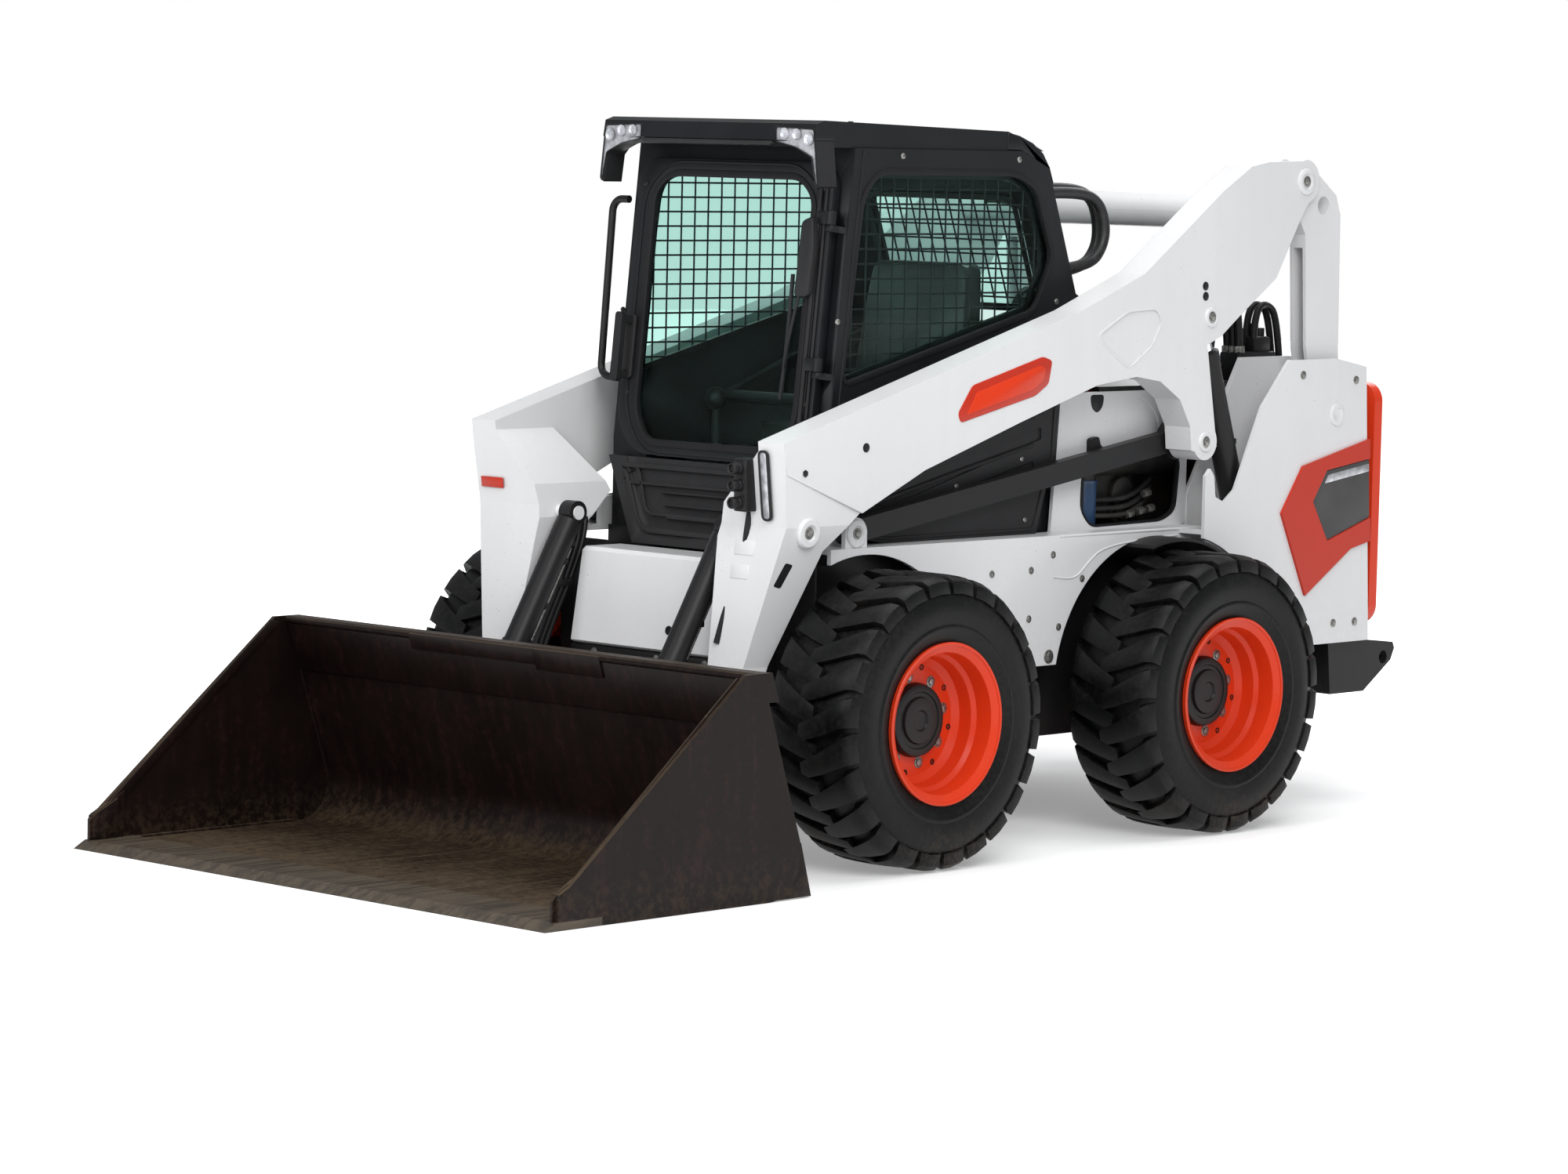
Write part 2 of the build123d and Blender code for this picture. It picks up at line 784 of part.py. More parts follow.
with BuildPart() as cab_frame:
    with BuildSketch(side(cab_half)):
        Polygon(*cab_outline, align=None)
    extrude(amount=2 * cab_half)
    with BuildSketch(side(cab_half - cab_wall)):
        Polygon(*cab_outline, align=None)
        offset(amount=-cab_wall, mode=Mode.REPLACE, kind=Kind.INTERSECTION)
    extrude(amount=2 * (cab_half - cab_wall), mode=Mode.SUBTRACT)
    with BuildSketch(side(cab_half)):
        with BuildSketch(mode=Mode.PRIVATE) as window_hole:
            Polygon(*side_window, align=None)
            fillet(window_hole.vertices(), 40)
        add(window_hole)
    extrude(amount=2 * cab_half, mode=Mode.SUBTRACT)
    with BuildSketch(across(1000)):
        with Locations((0, (door_foot_z + door_top_z) / 2)):
            RectangleRounded(2 * (door_half - 30), door_top_z - door_foot_z - 60, 60)
    extrude(amount=600, mode=Mode.SUBTRACT)
    with BuildSketch(across(100)):
        with Locations((0, 1660)):
            RectangleRounded(2 * rear_window_half, 380, 50)
    extrude(amount=320, mode=Mode.SUBTRACT)
    # Floor and knee space open down into the footwell
    with BuildSketch(level(deck_z - 10)):
        with Locations((1010, 0)):
            Rectangle(460, 2 * (toe_foot_half + 40))
    extrude(amount=60, mode=Mode.SUBTRACT)
    with BuildSketch(across(cab_foot_front - 2 * cab_wall)):
        with Locations((0, 990)):
            Rectangle(2 * (toe_foot_half + 40), 220)
    extrude(amount=4 * cab_wall, mode=Mode.SUBTRACT)
    # Lugs and pins of the door's hinges
    for rise in hinge_rises:
        hinge_plane = Plane(
            origin=door_plane.from_local_coords((hinge_y, rise - knuckle_length / 2, hinge_out)),
            x_dir=(0, 1, 0),
            z_dir=(-sin(radians(door_lean)), 0, cos(radians(door_lean))),
        )
        with BuildSketch(hinge_plane):
            Circle(door_knuckle)
        extrude(amount=18)
        with BuildSketch(hinge_plane):
            with Locations((8, hinge_out + door_plate / 2)):
                Rectangle(12, 2 * hinge_out + door_plate + 3)
        extrude(amount=18)
        with BuildSketch(hinge_plane):
            Circle(door_pin)
        extrude(amount=knuckle_length)
finish(cab_frame, "cab_frame")



with BuildPart() as door_frame:
    with BuildSketch(door_plane):
        with Locations((0, door_middle)):
            RectangleRounded(2 * door_half, door_height, 70)
            RectangleRounded(2 * (door_half - door_border), door_height - 2 * door_border, 60,
                             mode=Mode.SUBTRACT)
    extrude(amount=-door_plate)
    for rise in hinge_rises:
        knuckle_plane = Plane(
            origin=door_plane.from_local_coords((hinge_y, rise - knuckle_length / 2 + 20, hinge_out)),
            x_dir=(0, 1, 0),
            z_dir=(-sin(radians(door_lean)), 0, cos(radians(door_lean))),
        )
        with BuildSketch(knuckle_plane):
            Circle(door_knuckle)
            with Locations((-25, hinge_out - 4)):
                Rectangle(50, 8)
            Circle(door_pin + running_gap, mode=Mode.SUBTRACT)
        extrude(amount=knuckle_length - 22)
finish(door_frame, "door_frame")

with BuildPart() as door_glass:
    with BuildSketch(door_plane.offset(-12)):
        with Locations((0, door_middle)):
            RectangleRounded(2 * (door_half - door_border), door_height - 2 * door_border, 60)
    extrude(amount=-glass_plate)
finish(door_glass, "door_glass")

door_handle_rise = 175
with BuildPart() as door_handle:
    with BuildSketch(door_plane):
        for rise in (door_handle_rise - 80, door_handle_rise + 80):
            with Locations((-door_half + 26, rise)):
                Rectangle(26, 22)
    extrude(amount=46)
    with BuildSketch(door_plane.offset(38)):
        with Locations((-door_half + 26, door_handle_rise)):
            RectangleRounded(28, 200, 10)
    extrude(amount=18)
finish(door_handle, "door_handle")

with BuildPart() as side_windows:
    with BuildSketch(side(cab_half - 14)):
        with BuildSketch(mode=Mode.PRIVATE) as side_pane:
            Polygon(*side_window, align=None)
            fillet(side_pane.vertices(), 40)
        add(side_pane)
    extrude(amount=glass_plate)
    mirror(about=Plane.XZ)
finish(side_windows, "side_windows")

with BuildPart() as rear_window:
    with BuildSketch(side(rear_window_half)):
        Polygon(
            (232 + 12, 1517 - 12),
            (232 + 12 + glass_plate, 1517 - 12),
            (382 + 12 + glass_plate, 1927 - 12),
            (382 + 12, 1927 - 12),
            align=None,
        )
    extrude(amount=2 * rear_window_half)
    with BuildSketch(across(100)):
        with Locations((0, 1660)):
            RectangleRounded(2 * rear_window_half, 380, 50)
    extrude(amount=400, mode=Mode.INTERSECT)
finish(rear_window, "rear_window")

lamp_outline = [(262, roof_z - 16), (roof_half - 4, roof_z - 22), (roof_half + 14, 1868), (roof_half, 1862),
                (roof_half - 12, 1940), (360, 1988), (262, 1994)]
roof_outline = [
    (cab_face_x(cab_top_z) - 20, cab_top_z),
    (roof_front - 30, cab_top_z),
    (roof_front, cab_top_z + 18),
    (roof_front - 8, roof_z - 10),
    (roof_front - 40, roof_z),
    (557, 2030),
    (470, 2004),
    (400, cab_top_z),
]
lamp_back = 1285
lamp_bowls = (((300, 2011), 14), ((345, 2009), 15), ((391, 1998), 17))
lamp_bowl_depth = 12
with BuildPart() as cab_roof:
    with BuildSketch(side(roof_half)):
        Polygon(*roof_outline, align=None)
    extrude(amount=2 * roof_half)
    with BuildSketch(level(cab_top_z)):
        with Locations(((560 + lamp_back) / 2, 0)):
            Rectangle(lamp_back - 2 * roof_plate - 560, 2 * (roof_half - 2 * roof_plate))
    extrude(amount=2030 - roof_plate - cab_top_z, mode=Mode.SUBTRACT)
    with BuildSketch(across(lamp_back)):
        Polygon(*lamp_outline, align=None)
        mirror(about=Plane.YZ)
    extrude(amount=200, mode=Mode.SUBTRACT)
finish(cab_roof, "cab_roof")

with BuildPart() as work_lamps:
    with BuildSketch(across(lamp_back)):
        Polygon(*lamp_outline, align=None)
    extrude(amount=roof_front - 6 - lamp_back)
    # Reflector bowls under the clear cover
    for (bowl_y, bowl_z), bowl_radius in lamp_bowls:
        with BuildSketch(across(roof_front - 6)):
            with Locations((bowl_y, bowl_z)):
                Circle(bowl_radius)
        extrude(amount=-lamp_bowl_depth, taper=35, mode=Mode.SUBTRACT)
    mirror(about=Plane.XZ)
finish(work_lamps, "work_lamps")

toe_outline = [(toe_top_half, door_foot_z - 8), (toe_top_half, 1100), (toe_foot_half, toe_foot_z),
               (-toe_foot_half, toe_foot_z), (-toe_top_half, 1100), (-toe_top_half, door_foot_z - 8)]
toe_wall = 10
with BuildPart() as toe_panel:
    with BuildSketch(across(cab_foot_front)):
        Polygon(*toe_outline, align=None)
    extrude(amount=200)
    with BuildSketch(side(toe_top_half)):
        Polygon(
            (cab_foot_front, toe_foot_z),
            (toe_front, toe_foot_z),
            (door_face_x(door_foot_z), door_foot_z - 8),
            (cab_foot_front, door_foot_z - 8),
            align=None,
        )
    extrude(amount=2 * toe_top_half, mode=Mode.INTERSECT)
    with BuildSketch(across(cab_foot_front)):
        Polygon(*toe_outline, align=None)
        offset(amount=-4 * toe_wall, mode=Mode.REPLACE, kind=Kind.INTERSECTION)
    extrude(amount=2.4 * toe_wall, mode=Mode.SUBTRACT)
    # Shallow tray pressed into the front
    toe_tray = Plane(
        origin=(rear_axle_x + toe_front, 0, toe_foot_z),
        x_dir=(0, 1, 0),
        z_dir=Vector(door_foot_z - 8 - toe_foot_z, 0, toe_front - door_face_x(door_foot_z)).normalized(),
    )
    with BuildSketch(toe_tray):
        with BuildSketch(mode=Mode.PRIVATE) as tray_face:
            Polygon((-200, 50), (200, 50), (330, 255), (330, 292), (-330, 292), (-330, 255), align=None)
            fillet(tray_face.vertices(), 24)
        add(tray_face)
    extrude(amount=-6, mode=Mode.SUBTRACT)
finish(toe_panel, "toe_panel")

footwell_half = toe_foot_half
footwell_floor_z = 560
footwell_wall = 6
footwell_length = 480
footwell_front = cab_foot_front - tub_plate - 1
with BuildPart() as footwell:
    with BuildSketch(level(footwell_floor_z)):
        with Locations((footwell_front - footwell_length / 2, 0)):
            Rectangle(footwell_length, 2 * footwell_half)
    extrude(amount=deck_z - footwell_floor_z)
    with BuildSketch(level(footwell_floor_z + footwell_wall)):
        with Locations((footwell_front - footwell_length / 2, 0)):
            Rectangle(footwell_length - 2 * footwell_wall, 2 * (footwell_half - footwell_wall))
    extrude(amount=deck_z - footwell_floor_z, mode=Mode.SUBTRACT)
finish(footwell, "footwell")

# ---------------------------------------------------------------- inside the cab
cab_floor_z = deck_z + cab_wall
with BuildPart() as seat:
    with BuildSketch(level(cab_floor_z)):
        with Locations((660, 0)):
            Rectangle(320, 380)
    extrude(amount=180)
    with BuildSketch(side(235)):
        Polygon((500, 1084), (880, 1084), (920, 1130), (900, 1180), (590, 1170), (470, 1650), (400, 1630),
                (440, 1150), align=None)
    extrude(amount=470)
finish(seat, "seat")

bar_y = 272
with BuildPart() as seat_bar:
    for hand in (1, -1):
        with BuildSketch(side(hand * bar_y + 14)):
            Polygon((380, 1440), (400, 1400), (700, 1330), (960, 1230), (975, 1262), (710, 1362), align=None)
        extrude(amount=28)
    with BuildSketch(side(bar_y + 14)):
        with Locations((965, 1246)):
            Circle(18)
    extrude(amount=2 * bar_y + 28)
    for hand in (1, -1):
        pivot_inner = bar_y if hand > 0 else -cab_half + cab_wall
        with BuildSketch(side(pivot_inner + cab_half - cab_wall - bar_y)):
            with Locations((392, 1420)):
                Circle(16)
        extrude(amount=cab_half - cab_wall - bar_y)
finish(seat_bar, "seat_bar")

with BuildPart() as controls:
    for hand in (1, -1):
        with BuildSketch(level(cab_floor_z)):
            with Locations((930, hand * 335)):
                Rectangle(220, 90)
        extrude(amount=190)
        with BuildSketch(level(cab_floor_z + 190)):
            with Locations((960, hand * 335)):
                Circle(16)
        extrude(amount=110, taper=2)
        with Locations((rear_axle_x + 960, hand * 335, cab_floor_z + 330)):
            Sphere(34)
finish(controls, "controls")

# ---------------------------------------------------------------- rails, hoses
with BuildPart() as grab_handle:
    rail_x = rear_axle_x + 1270
    rail_out = -(cab_half + 62)
    with BuildLine() as rail_line:
        FilletPolyline(
            (rail_x - 22, -cab_half + 3, 1812),
            (rail_x - 22, rail_out, 1812),
            (rail_x + 18, rail_out, 1300),
            (rail_x + 18, -cab_half + 3, 1300),
            radius=36,
        )
    with BuildSketch(Plane(origin=rail_line.line @ 0, z_dir=rail_line.line % 0)):
        Circle(11)
    sweep()
finish(grab_handle, "grab_handle")

with BuildPart() as rear_hoses:
    for offset_y in (150, 200):
        with BuildLine() as hose_line:
            FilletPolyline(
                (rear_axle_x + 120, offset_y, hood_z),
                (rear_axle_x + 120, offset_y, 1430),
                (rear_axle_x + 60, offset_y, 1640),
                (rear_axle_x + 120, offset_y, 1830),
                (rear_axle_x + 340, offset_y, 1842),
                radius=70,
            )
        with BuildSketch(Plane(origin=hose_line.line @ 0, z_dir=hose_line.line % 0)):
            Circle(17)
        sweep()
finish(rear_hoses, "rear_hoses")

# ---------------------------------------------------------------- tail trims and tailgate
with BuildPart() as tail_trims:
    with BuildSketch(side(upright_y + trim_plate)):
        Polygon((-890, 1119), (-565, 1046), (-466, 907), (-592, 653), (-810, 786), (-907, 806),
                (-903, 878), (-692, 815), (-616, 937), (-681, 1030), (-893, 1059), align=None)
    extrude(amount=trim_plate)
    mirror(about=Plane.XZ)
finish(tail_trims, "tail_trims")

tail_x = upright_rear - tail_gap
with BuildPart() as tailgate:
    with BuildSketch(across(tail_x)):
        with Locations((0, (tail_foot_z + tail_top_z) / 2)):
            RectangleRounded(2 * tail_half, tail_top_z - tail_foot_z, 60)
    extrude(amount=-tail_plate)
    with BuildSketch(across(tail_x)):
        with Locations((0, (tail_foot_z + tail_top_z) / 2)):
            RectangleRounded(2 * (tail_half - 200), tail_top_z - tail_foot_z - 200, 40)
    extrude(amount=-tail_plate, mode=Mode.SUBTRACT)
    with BuildSketch(across(tail_x - 8)):
        with Locations((0, (tail_foot_z + tail_top_z) / 2)):
            Rectangle(2 * (tail_half - 190), tail_top_z - tail_foot_z - 190)
    extrude(amount=-20)
    # Louvres standing out of the recessed plate
    louvre_pitch = (tail_top_z - tail_foot_z - 200) / louvre_count
    for row in range(louvre_count):
        louvre_z = tail_foot_z + 100 + louvre_pitch * (row + 0.5)
        with BuildSketch(side(tail_half - 200)):
            Polygon(
                (tail_x - 27, louvre_z + louvre_pitch / 3),
                (tail_x - 28 - 8, louvre_z - louvre_pitch / 4),
                (tail_x - 28 - 5, louvre_z - louvre_pitch / 3),
                (tail_x - 27, louvre_z - louvre_pitch / 6),
                align=None,
            )
        extrude(amount=2 * (tail_half - 200))
    for hinge_z in tail_hinge_heights:
        with BuildSketch(level(hinge_z - 38)):
            with Locations((tail_hinge_x, tail_hinge_y)):
                Circle(knuckle_radius)
            with Locations((tail_hinge_x + 2, tail_hinge_y + 20)):
                Rectangle(16, 36)
            with Locations((tail_hinge_x, tail_hinge_y)):
                Circle(hinge_pin + running_gap, mode=Mode.SUBTRACT)
        extrude(amount=66)
finish(tailgate, "tailgate")

with BuildPart() as tail_lamps:
    with BuildSketch(across(tail_x - tail_plate)):
        with Locations((tail_half - 100, tail_top_z - 110), (-tail_half + 100, tail_top_z - 110)):
            RectangleRounded(120, 60, 14)
    extrude(amount=-12)
finish(tail_lamps, "tail_lamps")

# ---------------------------------------------------------------- lift arms
beam_outline = [
    (1669, 1178),
    (455, 1521),
    (172, 1627),
    (-36, 1770),
    (-177, 1867),
    (-313, 1944),
    (-395, 1958),
    (arm_pivot[0], arm_pivot[1] + pivot_radius - 3),
    (arm_pivot[0] - pivot_radius + 3, arm_pivot[1]),
    (-543, 1776),
    (-441, 1612),
    (-268, 1497),
    (-186, 1440),
    (-125, 1417),
    (-181, 1115),
    (arm_lug[0], arm_lug[1] - 40),
    (-64, 1107),
    (-56, 1176),
    (-5, 1258),
    (87, 1313),
    (195, 1329),
    (370, 1308),
    (708, 1208),
    (1100, 1087),
    (1352, 977),
    (1652, 1090),
]
leg_outline = [
    (1352, 977),
    (1478, 876),
    (1600, 587),
    (1700, 330),
    (bucket_pin[0] - leg_end_radius, bucket_pin[1] - 20),
    (bucket_pin[0] + leg_end_radius, bucket_pin[1] + 15),
    (1778, 400),
    (1707, 560),
    (1642, 946),
    (1669, 1178),
    (1480, 1231),
]
# How the leg narrows and leans inwards below the knee, seen from the front
leg_slice = [
    (arm_outer_y, 1240),
    (arm_outer_y, 1120),
    (609, 946),
    (leg_outer_y, 560),
    (leg_outer_y, 150),
    (leg_inner_y, 150),
    (leg_inner_y, 560),
    (355, 910),
    (377, 1004),
    (arm_inner_y, 1152),
    (arm_inner_y, 1240),
]
fork_outer_y = arm_outer_y - arm_cheek - 2
fork_inner_y = arm_inner_y + arm_cheek
fork_reach = 112                # room for the link's head
eye_reach = 126                 # and for the lift cylinder's eye

for place, hand in (("left", 1), ("right", -1)):
    with BuildPart() as lift_arm:
        with BuildSketch(side(arm_outer_y)):
            Polygon(*leg_outline, align=None)
            with Locations(bucket_pin):
                Circle(leg_end_radius)
        extrude(amount=arm_outer_y - 300)
        with BuildSketch(across(1300)):
            Polygon(*leg_slice, align=None)
        extrude(amount=700, mode=Mode.INTERSECT)
        with BuildSketch(side(arm_outer_y)):
            Polygon(*beam_outline, align=None)
            with Locations(arm_pivot):
                Circle(pivot_radius)
            with Locations(arm_lug):
                Circle(54)
        extrude(amount=arm_outer_y - arm_inner_y)
        # Forks for the rear link and for the lift cylinder's eye
        with BuildSketch(side(fork_outer_y)):
            with Locations(arm_pivot):
                Circle(fork_reach)
            with Locations(lift_eye):
                Circle(eye_reach)
            Polygon((-139, 1580), (-330, 1560), (-330, 1370), (-100, 1370), align=None)
        extrude(amount=fork_outer_y - fork_inner_y, mode=Mode.SUBTRACT)
        with BuildSketch(side(arm_outer_y)):
            with Locations(arm_pivot):
                Circle(big_pin)
        extrude(amount=arm_outer_y - arm_inner_y)
        with BuildSketch(side(arm_outer_y)):
            with Locations(bucket_pin):
                Circle(big_pin + running_gap)
        extrude(amount=arm_outer_y - 300, mode=Mode.SUBTRACT)
        with BuildSketch(side(arm_outer_y)):
            with BuildSketch(mode=Mode.PRIVATE) as press_face:
                Polygon((375, 1448), (238, 1518), (115, 1524), (88, 1489), (128, 1421), (231, 1355), align=None)
                fillet(press_face.vertices(), 22)
            add(press_face)
        extrude(amount=press_depth, mode=Mode.SUBTRACT)
        # Tilt cylinder's pin, standing in from the leg
        with BuildSketch(side(leg_inner_y + 20)):
            with Locations(tilt_foot):
                Circle(mid_pin)
        extrude(amount=leg_inner_y + 20 - tilt_y + tilt_eye_width / 2 + 4)
        if hand < 0:
            mirror(about=Plane.XZ, mode=Mode.REPLACE)
    finish(lift_arm, f"lift_arm_{place}")

with BuildPart() as cross_tubes:
    # (centre, half length, radius)
    for centre, half, radius in (
        (rear_tube, arm_inner_y, rear_tube_radius),
        (front_tube, leg_inner_y, front_tube_radius),
    ):
        with BuildSketch(side(half)):
            with Locations(centre):
                Circle(radius)
                Circle(radius - tube_wall, mode=Mode.SUBTRACT)
        extrude(amount=2 * half)
finish(cross_tubes, "cross_tubes")

# ---------------------------------------------------------------- rear links
link_outline = [
    (arm_pivot[0] + 40, arm_pivot[1] + 40),
    (-662, 1917),
    (-745, 1859),
    (-768, 1800),
    (-777, 1400),
    (-790, 1190),
    (-668, 1180),
    (-620, 1400),
    (-601, 1740),
    (arm_pivot[0] + 50, arm_pivot[1] - 40),
]
with BuildPart() as rear_links:
    with BuildSketch(side(link_outer_y)):
        Polygon(*link_outline, align=None)
        with Locations(link_foot):
            Circle(62)
        with Locations(arm_pivot):
            Circle(60)
    extrude(amount=link_width)
    # Channel open towards the front
    with BuildSketch(side(link_outer_y - link_wall)):
        Polygon((-560, 1300), (-560, 1700), (-720, 1700), (-735, 1300), align=None)
    extrude(amount=link_width - 2 * link_wall, mode=Mode.SUBTRACT)
    with BuildSketch(side(link_outer_y)):
        with Locations(link_foot, arm_pivot):
            Circle(big_pin + running_gap)
        with Locations(sling_hole):
            Circle(sling_hole_radius)
    extrude(amount=link_width, mode=Mode.SUBTRACT)
    mirror(about=Plane.XZ)
finish(rear_links, "rear_links")

control_angle = bearing(control_foot, arm_lug)
with BuildPart() as control_links:
    with BuildSketch(side(control_outer_y)):
        with Locations(Location(((control_foot[0] + arm_lug[0]) / 2, (control_foot[1] + arm_lug[1]) / 2),
                                control_angle)):
            Rectangle(reach(control_foot, arm_lug), control_depth)
        with Locations(control_foot):
            Circle(control_foot_radius)
        with Locations(arm_lug):
            Circle(control_eye_radius)
        with Locations(control_foot):
            Circle(mid_pin + running_gap, mode=Mode.SUBTRACT)
    extrude(amount=control_width)
    mirror(about=Plane.XZ)
finish(control_links, "control_links")


# ---------------------------------------------------------------- cylinders
def stroke_plane(foot, eye, y):
    """Plane at a cylinder's foot, facing along its rod, with local x across the machine."""
    run = reach(foot, eye)
    return Plane(
        origin=(rear_axle_x + foot[0], y, foot[1]),
        x_dir=(0, 1, 0),
        z_dir=((eye[0] - foot[0]) / run, 0, (eye[1] - foot[1]) / run),
    )


# kind: (foot, eye, y, bore radius, rod radius, barrel length, rod length, eye radius, eye width, foot pin)
cylinder_kinds = {
    "lift": (lift_foot, lift_eye, lift_y, lift_bore_radius, lift_rod_radius, lift_barrel_length,
             lift_rod_length, lift_eye_radius, lift_eye_width, mid_pin),
    "tilt": (tilt_foot, tilt_eye, tilt_y, tilt_bore_radius, tilt_rod_radius, tilt_barrel_length,
             tilt_rod_length, tilt_eye_radius, tilt_eye_width, mid_pin),
}
for kind, (foot, eye, mid_y, bore_r, rod_r, barrel_length, rod_length, eye_r, eye_w, pin_r) in (
    cylinder_kinds.items()
):
    run = reach(foot, eye)
    with BuildPart() as barrels:
        for hand_y in (mid_y, -mid_y):
            plane = stroke_plane(foot, eye, hand_y)
            with BuildSketch(side(hand_y + eye_w / 2)):
                with Locations(foot):
                    Circle(eye_r)
            extrude(amount=eye_w)
            with BuildSketch(plane.offset(pin_r + 8)):
                Circle(bore_r)
            extrude(amount=barrel_length - pin_r - 8)
            with BuildSketch(plane.offset(barrel_length - gland_length)):
                Circle(bore_r + gland_step)
            extrude(amount=gland_length)
            with BuildSketch(plane.offset(eye_r + 14)):
                Circle(rod_r + running_gap)
            extrude(amount=barrel_length, mode=Mode.SUBTRACT)
            with BuildSketch(side(hand_y + bore_r)):
                with Locations(foot):
                    Circle(pin_r + running_gap)
            extrude(amount=2 * bore_r, mode=Mode.SUBTRACT)
    finish(barrels, f"{kind}_barrels")

    with BuildPart() as rods:
        for hand_y in (mid_y, -mid_y):
            with BuildSketch(stroke_plane(foot, eye, hand_y).offset(run - rod_length)):
                Circle(rod_r)
            extrude(amount=rod_length - pin_r - 4)
            with BuildSketch(side(hand_y + eye_w / 2)):
                with Locations(eye):
                    Circle(eye_r)
                    Circle(pin_r, mode=Mode.SUBTRACT)
            extrude(amount=eye_w)
    finish(rods, f"{kind}_rods")

# ---------------------------------------------------------------- bucket and coupler
lean = tan(radians(bucket_lean))


def back_x(z, behind=0):
    """x of the bucket's back face at a height, moved back square to the face."""
    return bucket_heel_x + z * lean - behind / cos(radians(bucket_lean))


lip_x = front_axle + lip_reach
edge_rear = lip_x - edge_depth
side_front = lip_x - 48
with BuildPart() as bucket:
    with BuildSketch(side(bucket_half)):
        with BuildLine():
            FilletPolyline(
                (edge_rear, 0),
                (bucket_heel_x, 0),
                (back_x(bucket_height), bucket_height),
                radius=heel_radius,
            )
            Polyline(
                (back_x(bucket_height), bucket_height),
                (back_x(bucket_height) + bucket_plate / cos(radians(bucket_lean)), bucket_height),
            )
            FilletPolyline(
                (back_x(bucket_height) + bucket_plate / cos(radians(bucket_lean)), bucket_height),
                (back_x(bucket_plate, -bucket_plate), bucket_plate),
                (edge_rear, bucket_plate),
                radius=heel_radius - bucket_plate,
            )
            Line((edge_rear, bucket_plate), (edge_rear, 0))
        make_face()
    extrude(amount=2 * bucket_half)
    # Side plates
    for outer_y in (bucket_half, -bucket_half + bucket_side):
        with BuildSketch(side(outer_y)):
            with BuildLine():
                FilletPolyline(
                    (edge_rear, 0),
                    (bucket_heel_x, 0),
                    (back_x(bucket_height), bucket_height),
                    radius=heel_radius,
                )
                Polyline(
                    (back_x(bucket_height), bucket_height),
                    (back_x(bucket_height) + 60, bucket_height),
                    (side_front, 78),
                    (side_front, edge_plate),
                    (edge_rear, edge_plate),
                    (edge_rear, 0),
                )
            make_face()
        extrude(amount=bucket_side)
    # Top beam behind the back plate
    with BuildSketch(side(bucket_half)):
        Polygon(
            (back_x(bucket_height), bucket_height),
            (back_x(bucket_height, top_beam_depth), bucket_height),
            (back_x(bucket_height - top_beam_height, top_beam_depth), bucket_height - top_beam_height),
            (back_x(bucket_height - top_beam_height), bucket_height - top_beam_height),
            align=None,
        )
    extrude(amount=2 * bucket_half)
    # Step plates welded to the inside of the back, under its top edge: (from y, to y)
    for right_y, left_y in ((-400, 100), (140, 360)):
        with BuildSketch(side(left_y)):
            Polygon(
                (back_x(566, -bucket_plate), 566),
                (back_x(566, -bucket_plate - step_plate), 566),
                (back_x(603, -bucket_plate - step_plate), 603),
                (back_x(603, -bucket_plate), 603),
                align=None,
            )
        extrude(amount=left_y - right_y)
    # Cutters inside the side plates' front corners
    for outer_y in (bucket_half - bucket_side, -bucket_half + bucket_side + cutter_plate):
        with BuildSketch(side(outer_y)):
            Polygon((side_front - 110, edge_plate), (side_front + 10, edge_plate), (side_front + 10, 74),
                    (side_front - 10, 96), (side_front - 110, 150), align=None)
        extrude(amount=cutter_plate)
finish(bucket, "bucket")

with BuildPart() as cutting_edge:
    with BuildSketch(side(bucket_half)):
        Polygon((edge_rear, 0), (lip_x, 0), (lip_x - 40, edge_plate), (edge_rear, edge_plate), align=None)
    extrude(amount=2 * bucket_half)
finish(cutting_edge, "cutting_edge")

